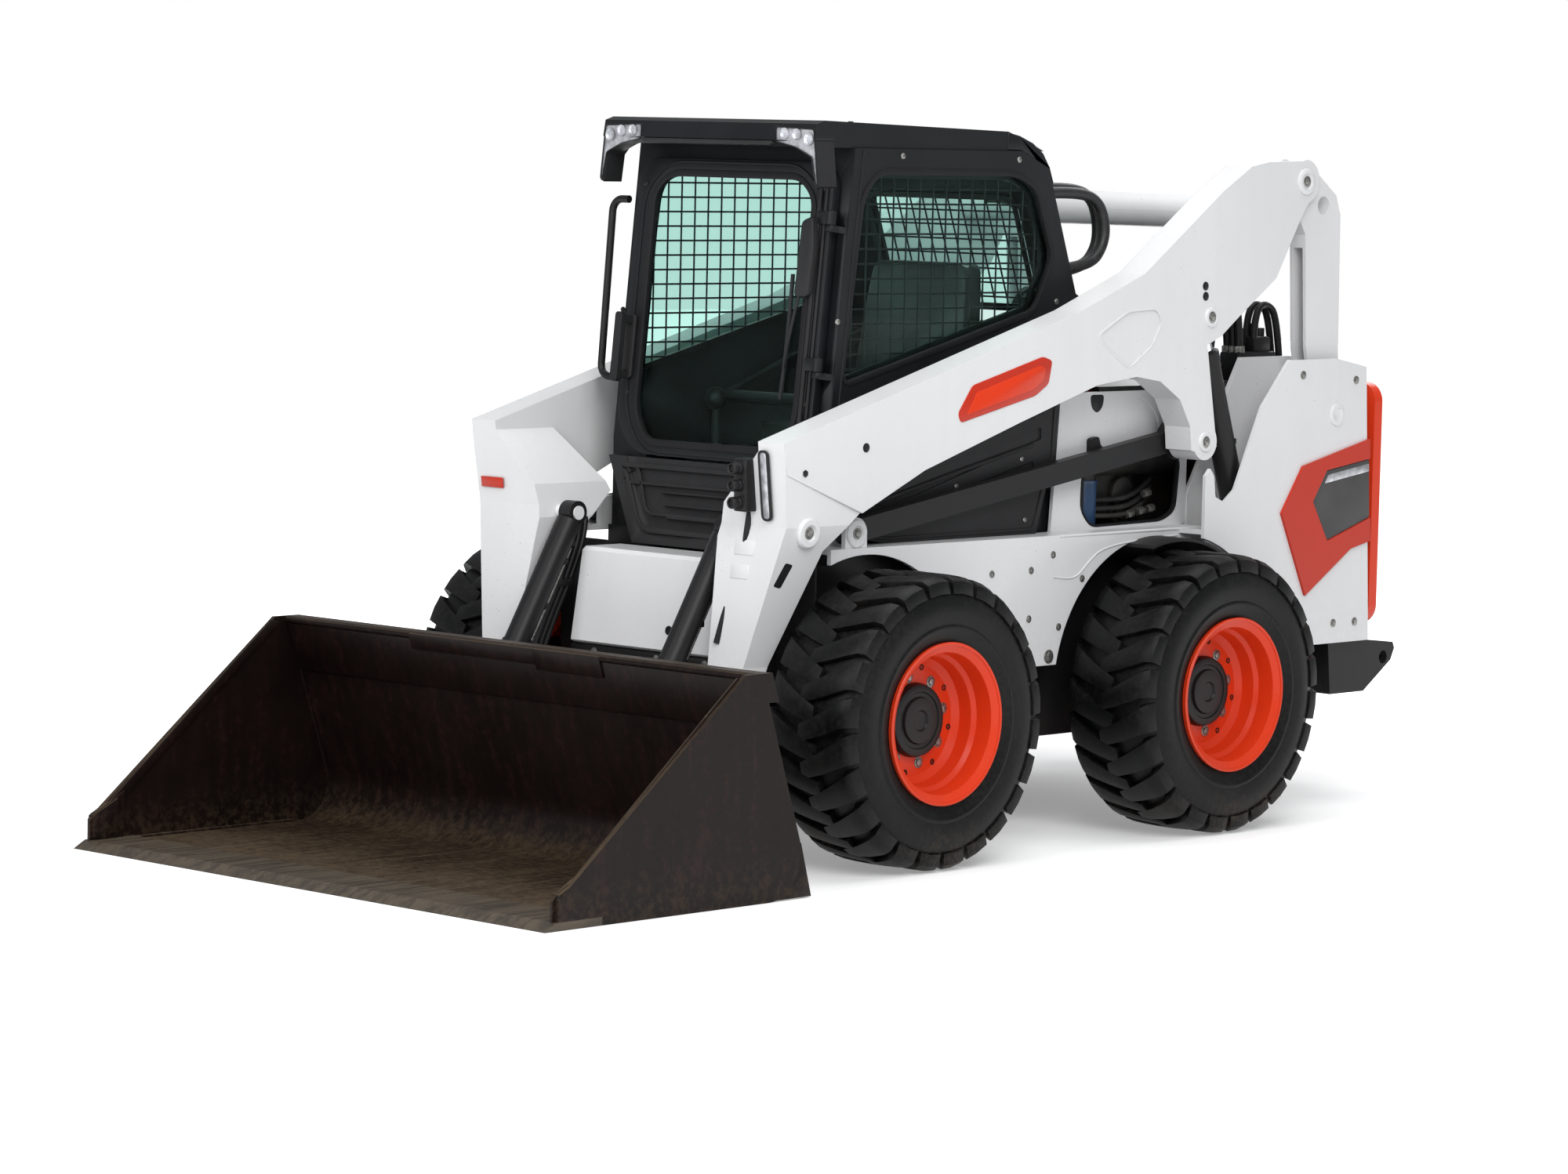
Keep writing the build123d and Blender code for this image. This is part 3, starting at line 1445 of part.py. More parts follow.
coupler_foot_z = 70
coupler_top_z = bucket_height - top_beam_height - 14
with BuildPart() as quick_coupler:
    with BuildSketch(side(coupler_half)):
        Polygon(
            (back_x(coupler_foot_z), coupler_foot_z),
            (back_x(coupler_top_z), coupler_top_z),
            (back_x(coupler_top_z, coupler_plate), coupler_top_z),
            (back_x(coupler_foot_z, coupler_plate), coupler_foot_z),
            align=None,
        )
    extrude(amount=2 * coupler_half)
    # Openings behind the tilt rods' eyes and in the middle
    with BuildSketch(across(1800)):
        with Locations((0, 300)):
            Rectangle(420, 260)
        for hand in (1, -1):
            with Locations((hand * tilt_y, 390)):
                Rectangle(tilt_eye_width + 2 * ear_gap, 180)
    extrude(amount=400, mode=Mode.SUBTRACT)
    # Ears: (inner face y, outline)
    hinge_ear = [
        (back_x(120, coupler_plate), 120),
        (back_x(430, coupler_plate), 430),
        (bucket_pin[0] + 20, bucket_pin[1] + 62),
        (bucket_pin[0] - 44, bucket_pin[1] + 20),
        (bucket_pin[0] - 40, bucket_pin[1] - 30),
        (bucket_pin[0] + 10, bucket_pin[1] - 48),
    ]
    tilt_ear = [
        (back_x(290, coupler_plate), 290),
        (back_x(500, coupler_plate), 500),
        (tilt_eye[0] + 8, tilt_eye[1] + 40),
        (tilt_eye[0] - 34, tilt_eye[1] + 10),
        (tilt_eye[0] - 20, tilt_eye[1] - 34),
    ]
    for inner_y, outline in (
        (leg_outer_y + ear_gap, hinge_ear),
        (leg_inner_y - ear_gap - ear_plate, hinge_ear),
        (tilt_y + tilt_eye_width / 2 + ear_gap, tilt_ear),
        (tilt_y - tilt_eye_width / 2 - ear_gap - ear_plate, tilt_ear),
    ):
        for hand in (1, -1):
            with BuildSketch(side(hand * inner_y + (ear_plate if hand > 0 else 0))):
                Polygon(*outline, align=None)
            extrude(amount=ear_plate)
    for hand in (1, -1):
        ear_span = leg_outer_y - leg_inner_y + 2 * (ear_gap + ear_plate)
        with BuildSketch(side(hand * (leg_outer_y + leg_inner_y) / 2 + ear_span / 2)):
            with Locations(bucket_pin):
                Circle(big_pin)
        extrude(amount=ear_span)
finish(quick_coupler, "quick_coupler")
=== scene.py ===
import json
from math import cos, pi, radians, sin, tan

import bmesh
import bpy
from bpy.props import FloatProperty, FloatVectorProperty, IntProperty, PointerProperty
from mathutils import Matrix, Vector


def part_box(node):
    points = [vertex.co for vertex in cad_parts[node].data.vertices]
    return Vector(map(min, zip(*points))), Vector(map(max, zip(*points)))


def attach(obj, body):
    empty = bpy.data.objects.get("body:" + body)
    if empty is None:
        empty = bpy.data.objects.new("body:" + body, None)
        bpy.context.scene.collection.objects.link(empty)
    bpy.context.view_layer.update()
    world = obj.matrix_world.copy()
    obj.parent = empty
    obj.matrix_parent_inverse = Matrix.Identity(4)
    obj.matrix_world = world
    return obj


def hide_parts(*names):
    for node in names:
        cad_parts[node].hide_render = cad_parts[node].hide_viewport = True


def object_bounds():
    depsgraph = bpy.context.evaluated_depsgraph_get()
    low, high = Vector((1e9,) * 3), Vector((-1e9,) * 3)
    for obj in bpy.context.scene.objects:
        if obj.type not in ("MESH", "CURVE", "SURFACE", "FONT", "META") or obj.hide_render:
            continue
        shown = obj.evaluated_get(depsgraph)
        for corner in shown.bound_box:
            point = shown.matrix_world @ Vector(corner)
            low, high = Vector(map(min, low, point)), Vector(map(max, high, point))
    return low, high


bl_info = {
    "name": "Compact Loader Finish",
    "version": (1, 0, 0),
    "blender": (4, 5, 0),
    "location": "View3D > Sidebar > Loader",
    "description": "Dresses a compact wheeled loader in paint, rubber, glass, hoses and fasteners",
    "category": "Object",
}

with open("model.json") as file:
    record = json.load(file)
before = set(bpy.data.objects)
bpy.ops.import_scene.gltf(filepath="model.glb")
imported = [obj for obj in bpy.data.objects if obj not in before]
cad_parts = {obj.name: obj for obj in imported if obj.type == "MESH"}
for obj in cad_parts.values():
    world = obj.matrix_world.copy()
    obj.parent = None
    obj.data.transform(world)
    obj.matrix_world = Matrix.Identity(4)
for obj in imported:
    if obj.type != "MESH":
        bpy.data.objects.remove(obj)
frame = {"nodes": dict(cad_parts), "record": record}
rest_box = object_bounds()
nodes = frame["nodes"]


def span(node):
    """A node's lowest corner, highest corner and middle at rest."""
    low, high = (Vector(corner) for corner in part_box(node))
    return low, high, (low + high) / 2


WHEEL_MIDDLE = span("wheel_rear_left")[2]
REAR = WHEEL_MIDDLE.x
AXLE_Z = WHEEL_MIDDLE.z
FRONT = span("wheel_front_left")[2].x - REAR
TYRE_LOW, TYRE_HIGH, TYRE_MIDDLE = span("tyre_rear_left")
SIDES = (("left", 1), ("right", -1))
PLACES = {
    "rear_left": (0.0, 1),
    "rear_right": (0.0, -1),
    "front_left": (FRONT, 1),
    "front_right": (FRONT, -1),
}


# Pins of the lift linkage, (x, z)
LINK_FOOT, ARM_PIVOT = (-0.730, 1.197), (-0.571, 1.900)
CONTROL_FOOT, ARM_LUG = (1.280, 0.912), (-0.127, 1.130)
LIFT_FOOT, LIFT_EYE = (-0.430, 0.650), (-0.139, 1.498)
TILT_FOOT, TILT_EYE = (1.560, 0.925), (1.880, 0.385)


def at(x, y, z):
    """Point x forward of the rear axle, y to the machine's left and z above the floor."""
    return Vector((REAR + x, y, z))


# ---------------------------------------------------------------- settings


class LoaderSizes(bpy.types.PropertyGroup):
    """Sizes of the added details."""

    bolt_head: FloatProperty(name="Bolt head", description="Radius of a body bolt's head",
                             default=0.011, unit="LENGTH")
    lug_count: IntProperty(name="Lugs", description="Tread lugs on each side of a tyre", default=24)
    lug_height: FloatProperty(name="Lug height", description="Depth of the tread between lugs",
                              default=0.026, unit="LENGTH")
    guard_wire: FloatProperty(name="Guard wire", description="Radius of the window guard's wires",
                              default=0.0028, unit="LENGTH")
    guard_pitch: FloatProperty(name="Guard pitch", description="Distance between the guard's upright wires",
                               default=0.055, unit="LENGTH")
    gasket: FloatProperty(name="Gasket", description="Width of the rubber round a pane",
                          default=0.014, unit="LENGTH")
    hose: FloatProperty(name="Hose", description="Outside diameter of the arm's supply hoses",
                        default=0.034, unit="LENGTH")


class LoaderColours(bpy.types.PropertyGroup):
    """Colours of the paint and trim."""

    body: FloatVectorProperty(name="Body", description="Enamel of the arms and body", subtype="COLOR",
                              default=(0.80, 0.80, 0.805))
    accent: FloatVectorProperty(name="Accent", description="Enamel of the rims", subtype="COLOR",
                                default=(0.74, 0.043, 0.007))
    trim: FloatVectorProperty(name="Trim", description="Enamel of the tail trims and badges", subtype="COLOR",
                              default=(0.56, 0.030, 0.010))
    dark: FloatVectorProperty(name="Dark", description="Satin paint of the frame and links", subtype="COLOR",
                              default=(0.012, 0.012, 0.013))
    cab: FloatVectorProperty(name="Cab", description="Textured paint of the cab", subtype="COLOR",
                             default=(0.0095, 0.0102, 0.0118))
    bucket: FloatVectorProperty(name="Bucket", description="Dark steel of the bucket", subtype="COLOR",
                                default=(0.0100, 0.0052, 0.0044))
    soil: FloatVectorProperty(name="Soil", description="Dry soil and dust", subtype="COLOR",
                              default=(0.100, 0.074, 0.050))
    glass: FloatVectorProperty(name="Glass", description="Tint of the cab's glass", subtype="COLOR",
                               default=(0.66, 0.86, 0.81))


class StageSettings(bpy.types.PropertyGroup):
    """The floor, the light and the camera."""

    azimuth: FloatProperty(name="Azimuth", description="Turn of the camera round the machine",
                           default=radians(133.72), subtype="ANGLE")
    elevation: FloatProperty(name="Elevation", description="Height of the camera above level",
                             default=radians(5.12), subtype="ANGLE")
    roll: FloatProperty(name="Roll", description="Lean of the camera", default=radians(1.25), subtype="ANGLE")
    distance: FloatProperty(name="Distance", description="From the camera to what it looks at",
                            default=14.73, unit="LENGTH")
    lens: FloatProperty(name="Lens", description="Focal length in millimetres", default=117.36)
    key: FloatProperty(name="Key light", description="Power of the main lamp in watts", default=330.0)
    fill: FloatProperty(name="Fill light", description="Power of the second lamp in watts", default=215.0)


sizes = None
colours = None
stage = None
finishes = {}

# ---------------------------------------------------------------- shader sums


class Term:
    """One value, colour or vector in a material's nodes; sums on it add the nodes they need."""

    def __init__(self, shade, socket):
        self.shade = shade
        self.socket = socket

    def sum(self, operation, *others, clamp=False):
        return self.shade.node("ShaderNodeMath", {"operation": operation, "use_clamp": clamp}, self, *others)

    def __add__(self, other):
        return self.sum("ADD", other)

    def __radd__(self, other):
        return self.sum("ADD", other)

    def __sub__(self, other):
        return self.sum("SUBTRACT", other)

    def __rsub__(self, other):
        return self.shade.node("ShaderNodeMath", {"operation": "SUBTRACT"}, other, self)

    def __mul__(self, other):
        return self.sum("MULTIPLY", other)

    def __rmul__(self, other):
        return self.sum("MULTIPLY", other)

    def __truediv__(self, other):
        return self.sum("DIVIDE", other)

    def __pow__(self, other):
        return self.sum("POWER", other)

    def held(self):
        """Kept between 0 and 1."""
        return self.sum("ADD", 0.0, clamp=True)

    def rise(self, low, high):
        """0 below low, 1 above high, smooth between."""
        return self.shade.node("ShaderNodeMapRange", {"interpolation_type": "SMOOTHSTEP"}, self, low, high)


class Shade:
    """One material and the nodes that feed its shader."""

    def __init__(self, name):
        self.material = bpy.data.materials.new(name)
        self.material.use_nodes = True
        self.tree = self.material.node_tree
        self.surface = self.tree.nodes["Principled BSDF"]
        self.place = self.node("ShaderNodeTexCoord", {}, out="Object")
        self.axes = self.tree.nodes.new("ShaderNodeSeparateXYZ")
        self.tree.links.new(self.place.socket, self.axes.inputs[0])
        self.x, self.y, self.z = (Term(self, self.axes.outputs[i]) for i in range(3))

    def node(self, kind, settings=None, *values, out=0, **named):
        made = self.tree.nodes.new(kind)
        for key, value in (settings or {}).items():
            if key == "stops":
                ramp = made.color_ramp
                while len(ramp.elements) < len(value):
                    ramp.elements.new(0.5)
                for element, (position, colour) in zip(ramp.elements, value):
                    element.position = position
                    element.color = (*colour, 1.0) if len(colour) == 3 else colour
            else:
                setattr(made, key, value)
        pairs = list(enumerate(values)) + list(named.items())
        for key, value in pairs:
            socket = made.inputs[key] if isinstance(key, int) else made.inputs[key.replace("_", " ")]
            self.feed(socket, value)
        return Term(self, made.outputs[out])

    def feed(self, socket, value):
        """Link a term to a socket, or set the socket to a plain value."""
        if isinstance(value, Term):
            self.tree.links.new(value.socket, socket)
        elif hasattr(socket.default_value, "__len__") and hasattr(value, "__len__"):
            size = len(socket.default_value)
            socket.default_value = (*value, 1.0)[:size] if len(value) < size else tuple(value)[:size]
        else:
            socket.default_value = value

    def stretched(self, scale):
        """The place on the piece, stretched along its axes."""
        return self.node("ShaderNodeMapping", {}, self.place, (0, 0, 0), (0, 0, 0), scale)

    def noise(self, scale, detail=4.0, rough=0.55, place=None):
        return self.node("ShaderNodeTexNoise", {}, Vector=place or self.place, Scale=scale, Detail=detail,
                         Roughness=rough)

    def mix(self, amount, first, second):
        """First colour where amount is 0, second where it is 1."""
        made = self.tree.nodes.new("ShaderNodeMix")
        made.data_type = "RGBA"
        self.feed(made.inputs[0], amount)
        self.feed(made.inputs[6], first)
        self.feed(made.inputs[7], second)
        return Term(self, made.outputs[2])

    def facing_up(self):
        """How far the surface faces upwards, 0 to 1."""
        normal = self.node("ShaderNodeNewGeometry", {}, out="Normal")
        split = self.tree.nodes.new("ShaderNodeSeparateXYZ")
        self.tree.links.new(normal.socket, split.inputs[0])
        return Term(self, split.outputs[2]).rise(0.35, 0.95)

    def bump(self, height, distance, strength=1.0, edge=0.0):
        """A bump on the surface; edge rounds sharp corners by that radius."""
        normal = None
        if edge:
            normal = self.node("ShaderNodeBevel", {"samples": 4}, edge)
        made = self.tree.nodes.new("ShaderNodeBump")
        made.inputs["Strength"].default_value = strength
        made.inputs["Distance"].default_value = distance
        self.feed(made.inputs["Height"], height)
        if normal:
            self.tree.links.new(normal.socket, made.inputs["Normal"])
        return Term(self, made.outputs[0])

    def finish(self, **sockets):
        for name, value in sockets.items():
            self.feed(self.surface.inputs[name.replace("_", " ")], value)
        return self.material


def enamel(name, colour, roughness=0.32, dust=0.25, soil_line=0.75, edge=0.002, coat=0.0, speckle=0.0,
           shine=0.5):
    """Painted steel with faint mottling, dust that thickens towards the floor, and rounded corners."""
    shade = Shade(name)
    cloud = shade.noise(2.3, 3.0)
    grain = shade.noise(46.0, 6.0, 0.65)
    streak = shade.noise(9.0, 5.0, 0.6, shade.stretched((1.6, 1.6, 0.22)))
    tone = shade.mix((cloud * 0.5 + streak * 0.35).rise(0.28, 0.62), tuple(c * 0.94 for c in colour), colour)
    low = 1 - shade.z.rise(0.05, soil_line)
    settled = low * 0.75 + shade.facing_up() * 0.16 + 0.05
    film = settled * (grain * 0.55 + streak * 0.45).rise(0.34, 0.62) * dust
    tone = shade.mix(film.held(), tone, colours.soil)
    if speckle:
        chips = shade.noise(150.0, 2.0, 0.5).rise(0.70, 0.74) * cloud.rise(0.50, 0.60) * speckle
        tone = shade.mix(chips.held(), tone, (0.09, 0.085, 0.08))
    rough = cloud * 0.10 + (roughness - 0.05) + film * 0.5
    return shade.finish(Base_Color=tone, Roughness=rough.held(), Coat_Weight=coat, Coat_Roughness=0.12,
                        Specular_IOR_Level=shine,
                        Normal=shade.bump(grain * 0.6 + cloud * 0.4, 0.0006, 0.35, edge))


def textured_black(name, colour, roughness=0.48, grain_size=420.0, depth=0.0007, edge=0.0025, dust=0.16):
    """Fine textured black paint or moulding with a little dust on what faces up."""
    shade = Shade(name)
    leather = shade.node("ShaderNodeTexVoronoi", {"feature": "F1"}, Vector=shade.place, Scale=grain_size)
    cloud = shade.noise(3.1, 4.0)
    wipe = shade.noise(14.0, 5.0, 0.6, shade.stretched((1.0, 1.0, 0.35)))
    film = (shade.facing_up() * 0.55 + (1 - shade.z.rise(0.1, 0.9)) * 0.45) * wipe.rise(0.38, 0.66) * dust
    tone = shade.mix(cloud.rise(0.35, 0.65), tuple(c * 0.85 for c in colour), tuple(c * 1.18 for c in colour))
    tone = shade.mix(film.held(), tone, colours.soil)
    return shade.finish(Base_Color=tone, Roughness=(cloud * 0.14 + (roughness - 0.07) + film * 0.3).held(),
                        Specular_IOR_Level=0.22, Normal=shade.bump(leather, depth, 0.25, edge))


def tyre_rubber():
    """Black rubber: matt tread with soil in its grooves, a smoother sidewall with fine rings."""
    shade = Shade("tyre rubber")
    fine = shade.noise(70.0, 6.0, 0.6)
    cloud = shade.noise(5.0, 4.0)
    speck = shade.noise(260.0, 2.0, 0.5)
    worn = (fine * 0.6 + cloud * 0.4).rise(0.42, 0.66)
    tone = shade.mix(worn, (0.0022, 0.0024, 0.0026), (0.0075, 0.0075, 0.0078))
    low = 1 - shade.z.rise(0.0, 0.16)
    film = (low * 0.5 + 0.05) * (fine * 0.5 + cloud * 0.5).rise(0.44, 0.68)
    tone = shade.mix(film.held(), tone, colours.soil)
    return shade.finish(Base_Color=tone, Roughness=(worn * 0.12 + 0.44).held(), Specular_IOR_Level=0.2,
                        Normal=shade.bump(fine * 0.5 + speck * 0.5, 0.0014, 0.4))


def bucket_steel():
    """Dark paint over steel: brown soil on the floor, long scratches, patches of reddish rust."""
    shade = Shade("bucket steel")
    low, high, _ = span("bucket")
    cloud = shade.noise(3.4, 5.0, 0.6)
    fine = shade.noise(42.0, 6.0, 0.7)
    drag = shade.noise(7.0, 6.0, 0.65, shade.stretched((0.35, 5.0, 5.0)))
    fall = shade.noise(6.0, 6.0, 0.65, shade.stretched((3.0, 5.0, 0.5)))
    tone = shade.mix((cloud * 0.6 + fall * 0.4).rise(0.38, 0.62), tuple(c * 0.62 for c in colours.bucket),
                     colours.bucket)
    red = (fall * 0.5 + fine * 0.5).rise(0.50, 0.62) * 0.45
    tone = shade.mix(red.held(), tone, (0.030, 0.0125, 0.0088))
    floor = shade.facing_up() * (drag * 0.55 + cloud * 0.45).rise(0.26, 0.58)
    front = shade.x.rise(low.x + 0.25, high.x)
    settled = floor * (front * 0.45 + 0.42)
    splashed = (1 - shade.z.rise(0.0, 0.16)) * fine.rise(0.42, 0.60) * 0.30
    soil = (settled + splashed).held()
    tone = shade.mix(soil, tone, (0.074, 0.050, 0.029))
    scratch = drag.rise(0.63, 0.70) * shade.facing_up() * 0.55
    tone = shade.mix(scratch.held(), tone, (0.095, 0.082, 0.068))
    rough = (soil * 0.30 + cloud * 0.16 + 0.30).held()
    return shade.finish(Base_Color=tone, Roughness=rough, Specular_IOR_Level=0.18,
                        Normal=shade.bump(fine * 0.5 + drag * 0.5, 0.0016, 0.45, 0.002))


def edge_steel():
    """Worn cutting edge: bright and rusty bands along its length."""
    shade = Shade("edge steel")
    drag = shade.noise(9.0, 6.0, 0.6, shade.stretched((0.4, 4.0, 4.0)))
    fine = shade.noise(60.0, 6.0, 0.7)
    tone = shade.mix(drag.rise(0.36, 0.66), (0.040, 0.030, 0.021), (0.120, 0.095, 0.066))
    tone = shade.mix(fine.rise(0.56, 0.72) * 0.6, tone, (0.15, 0.135, 0.11))
    return shade.finish(Base_Color=tone, Metallic=(drag.rise(0.3, 0.7) * 0.5).held(),
                        Roughness=(drag * 0.25 + 0.34).held(), Normal=shade.bump(fine, 0.0012, 0.4, 0.002))


def rod_chrome():
    """Polished rod with the finest lengthwise wear."""
    shade = Shade("rod chrome")
    fine = shade.noise(180.0, 4.0, 0.6)
    film = shade.noise(22.0, 4.0).rise(0.45, 0.7)
    tone = shade.mix(film * 0.3, (0.78, 0.79, 0.81), (0.60, 0.60, 0.58))
    return shade.finish(Base_Color=tone, Metallic=1.0, Roughness=(fine * 0.07 + film * 0.10 + 0.05).held(),
                        Normal=shade.bump(fine, 0.0002, 0.15))


def zinc():
    """Plated fasteners, dulled."""
    shade = Shade("zinc plate")
    cloud = shade.noise(160.0, 4.0)
    tone = shade.mix(cloud.rise(0.4, 0.65), (0.20, 0.195, 0.18), (0.36, 0.355, 0.34))
    return shade.finish(Base_Color=tone, Metallic=0.85, Roughness=(cloud * 0.25 + 0.28).held(),
                        Normal=shade.bump(cloud, 0.0003, 0.3, 0.0008))


def tinted_glass():
    """Green-tinted safety glass with a faint film of dust along its lower edge."""
    shade = Shade("tinted glass")
    film = shade.noise(11.0, 5.0, 0.6).rise(0.44, 0.75) * (1 - shade.z.rise(1.25, 1.75))
    rough = (film * 0.05 + 0.012).held()
    return shade.finish(Base_Color=shade.mix(film * 0.15, colours.glass, (0.50, 0.52, 0.46)), Roughness=rough,
                        Transmission_Weight=1.0, IOR=1.12)


def clear_lens():
    """Clear moulded cover of a lamp."""
    shade = Shade("clear lens")
    haze = shade.noise(30.0, 4.0).rise(0.5, 0.8)
    return shade.finish(Base_Color=(0.95, 0.96, 0.97), Roughness=(haze * 0.06 + 0.02).held(),
                        Transmission_Weight=1.0, IOR=1.2)


def reflector():
    """Silvered bowl of a lamp, faceted; its bright and dark silver patches are painted reflection."""
    shade = Shade("lamp bowl")
    facet_and_reflection = shade.node("ShaderNodeTexVoronoi", {"feature": "F1"}, Vector=shade.place, Scale=48.0)
    cloud = shade.noise(30.0, 3.0)
    # Painted reflection: the colour swings between bright and dark silver over the facets and clouds.
    tone = shade.mix(facet_and_reflection.rise(0.2, 0.8) * 0.5 + cloud.rise(0.4, 0.6) * 0.3, (0.66, 0.67, 0.70),
                     (0.30, 0.30, 0.32))
    return shade.finish(Base_Color=tone, Metallic=0.7, Roughness=(facet_and_reflection * 0.15 + 0.30).held(),
                        Normal=shade.bump(facet_and_reflection, 0.0006, 0.3))


def tail_lens():
    """Red lens with fine upright flutes."""
    shade = Shade("tail lens")
    flutes = shade.node("ShaderNodeTexWave", {"wave_type": "BANDS", "bands_direction": "Y"},
                        Vector=shade.place, Scale=42.0)
    tone = shade.mix(flutes.rise(0.2, 0.8), (0.28, 0.008, 0.006), (0.52, 0.022, 0.014))
    return shade.finish(Base_Color=tone, Roughness=(flutes * 0.08 + 0.10).held(), Coat_Weight=0.6,
                        Normal=shade.bump(flutes, 0.001, 0.4))


def seat_vinyl():
    """Black vinyl with a fine hide grain."""
    shade = Shade("seat vinyl")
    hide = shade.node("ShaderNodeTexVoronoi", {"feature": "DISTANCE_TO_EDGE"}, Vector=shade.place,
                      Scale=330.0)
    cloud = shade.noise(8.0, 4.0)
    tone = shade.mix(cloud.rise(0.4, 0.65), (0.022, 0.022, 0.023), (0.042, 0.042, 0.044))
    return shade.finish(Base_Color=tone, Roughness=(cloud * 0.15 + 0.40).held(),
                        Normal=shade.bump(hide, 0.0006, 0.5))


def hose_rubber():
    """Hose cover with a fine wrapped weave and scuffs."""
    shade = Shade("hose rubber")
    wrap = shade.node("ShaderNodeTexWave", {"wave_type": "BANDS", "bands_direction": "DIAGONAL"},
                      Vector=shade.place, Scale=160.0)
    scuff = shade.noise(40.0, 5.0).rise(0.5, 0.75)
    tone = shade.mix(scuff * 0.6, (0.012, 0.012, 0.013), (0.045, 0.044, 0.042))
    return shade.finish(Base_Color=tone, Roughness=(scuff * 0.2 + 0.42).held(),
                        Normal=shade.bump(wrap * 0.6 + scuff * 0.4, 0.0008, 0.4))


def engine_iron():
    """Dark castings with oil and dust."""
    shade = Shade("engine iron")
    cast = shade.noise(90.0, 6.0, 0.7)
    cloud = shade.noise(6.0, 4.0)
    tone = shade.mix(cloud.rise(0.4, 0.62), (0.018, 0.018, 0.019), (0.050, 0.047, 0.042))
    return shade.finish(Base_Color=tone, Metallic=0.2, Roughness=(cloud * 0.3 + 0.35).held(),
                        Normal=shade.bump(cast, 0.002, 0.5, 0.003))


def make_finishes():
    """Make every material once."""
    finishes.update({
        "white_paint": enamel("white enamel", colours.body, 0.30, 0.22, 0.8, 0.0025, 0.25, 0.5),
        "black_paint": enamel("black enamel", colours.dark, 0.38, 0.14, 0.7, 0.002, 0.0, 0.3, 0.24),
        "cab_paint": textured_black("cab paint", colours.cab, 0.40),
        "orange_paint": enamel("orange enamel", colours.accent, 0.34, 0.10, 0.55, 0.002, 0.05, 0.25, 0.3),
        "trim_paint": enamel("trim enamel", colours.trim, 0.30, 0.04, 0.6, 0.003, 0.05, 0.0, 0.3),
        "grey_insert": textured_black("grey insert", (0.075, 0.074, 0.074), 0.5, 300.0, 0.0006, 0.002, 0.1),
        "tyre_rubber": tyre_rubber(),
        "bucket_steel": bucket_steel(),
        "edge_steel": edge_steel(),
        "rod_chrome": rod_chrome(),
        "zinc": zinc(),
        "tinted_glass": tinted_glass(),
        "lamp_lens": clear_lens(),
        "lamp_bowl": reflector(),
        "tail_lens": tail_lens(),
        "seat_vinyl": seat_vinyl(),
        "black_plastic": textured_black("black moulding", (0.020, 0.020, 0.021), 0.5, 300.0, 0.0008, 0.003),
        "gasket": textured_black("gasket rubber", (0.010, 0.010, 0.011), 0.6, 500.0, 0.0004, 0.001, 0.08),
        "hose_rubber": hose_rubber(),
        "engine_iron": engine_iron(),
        "filter_blue": enamel("filter blue", (0.035, 0.085, 0.19), 0.35, 0.15, 0.9, 0.001),
    })


# ---------------------------------------------------------------- shaping

MERGE = 0.00002            # vertices nearer than this become one
PIPE_RESOLUTION = 6        # steps between a tube's points
CORD_RESOLUTION = 12       # the same for a hose


def clear():
    """Leave edit mode with nothing selected."""
    if bpy.context.object and bpy.context.object.mode != "OBJECT":
        bpy.ops.object.mode_set(mode="OBJECT")
    bpy.ops.object.select_all(action="DESELECT")


def only(piece):
    """Select one object and make it the active one."""
    clear()
    piece.select_set(True)
    bpy.context.view_layer.objects.active = piece


def edit(piece):
    """Enter edit mode on one object with all of it selected."""
    only(piece)
    bpy.ops.object.mode_set(mode="EDIT")
    bpy.ops.mesh.select_all(action="SELECT")


def pick(piece, kind, test):
    """In edit mode, select the faces, edges or verts that pass a test."""
    bpy.ops.mesh.select_all(action="DESELECT")
    bpy.ops.mesh.select_mode(type={"faces": "FACE", "edges": "EDGE", "verts": "VERT"}[kind])
    mesh = bmesh.from_edit_mesh(piece.data)
    for part in getattr(mesh, kind):
        part.select_set(bool(test(part)))
    mesh.select_flush_mode()
    bmesh.update_edit_mesh(piece.data)


def named(name):
    piece = bpy.context.object
    piece.name = name
    piece.data.name = name
    return piece


def ring(name, points, filled=True):
    """A loop of vertices at the given points, filled or open."""
    clear()
    bpy.ops.mesh.primitive_circle_add(vertices=len(points), radius=1.0,
                                      fill_type="NGON" if filled else "NOTHING",
                                      location=(0, 0, 0))
    piece = named(name)
    for vertex, point in zip(piece.data.vertices, points):
        vertex.co = point
    return piece


def tidy():
    """In edit mode, merge doubles and point every face outwards."""
    bpy.ops.mesh.select_all(action="SELECT")
    bpy.ops.mesh.remove_doubles(threshold=MERGE)
    bpy.ops.mesh.normals_make_consistent(inside=False)
    bpy.ops.object.mode_set(mode="OBJECT")


def slab(name, points, depth, rounding=0.0, segments=2):
    """A plate: a loop of points pushed out by the vector depth, its edges rounded."""
    piece = ring(name, points)
    edit(piece)
    bpy.ops.mesh.extrude_region_move(TRANSFORM_OT_translate={"value": depth})
    bpy.ops.mesh.select_all(action="SELECT")
    bpy.ops.mesh.normals_make_consistent(inside=False)
    if rounding:
        bpy.ops.mesh.bevel(offset=rounding, segments=segments, affect="EDGES", clamp_overlap=True)
    tidy()
    return piece


def side_plate(name, outline, y, depth, rounding=0.002):
    """A plate with an (x, z) outline, from y outwards by depth."""
    return slab(name, [at(x, y, z) for x, z in outline], (0, depth, 0), rounding)


def cube_between(name, low, high):
    """A plain cube between two corners, left in edit mode."""
    clear()
    low, high = Vector(low), Vector(high)
    bpy.ops.mesh.primitive_cube_add(size=1.0, location=(low + high) / 2, scale=high - low)
    piece = named(name)
    bpy.ops.object.transform_apply(location=True, rotation=True, scale=True)
    edit(piece)
    return piece


def block(name, low, high, rounding=0.004):
    """A rounded block between two corners."""
    piece = cube_between(name, low, high)
    bpy.ops.mesh.bevel(offset=rounding, segments=2, affect="EDGES", clamp_overlap=True)
    tidy()
    return piece


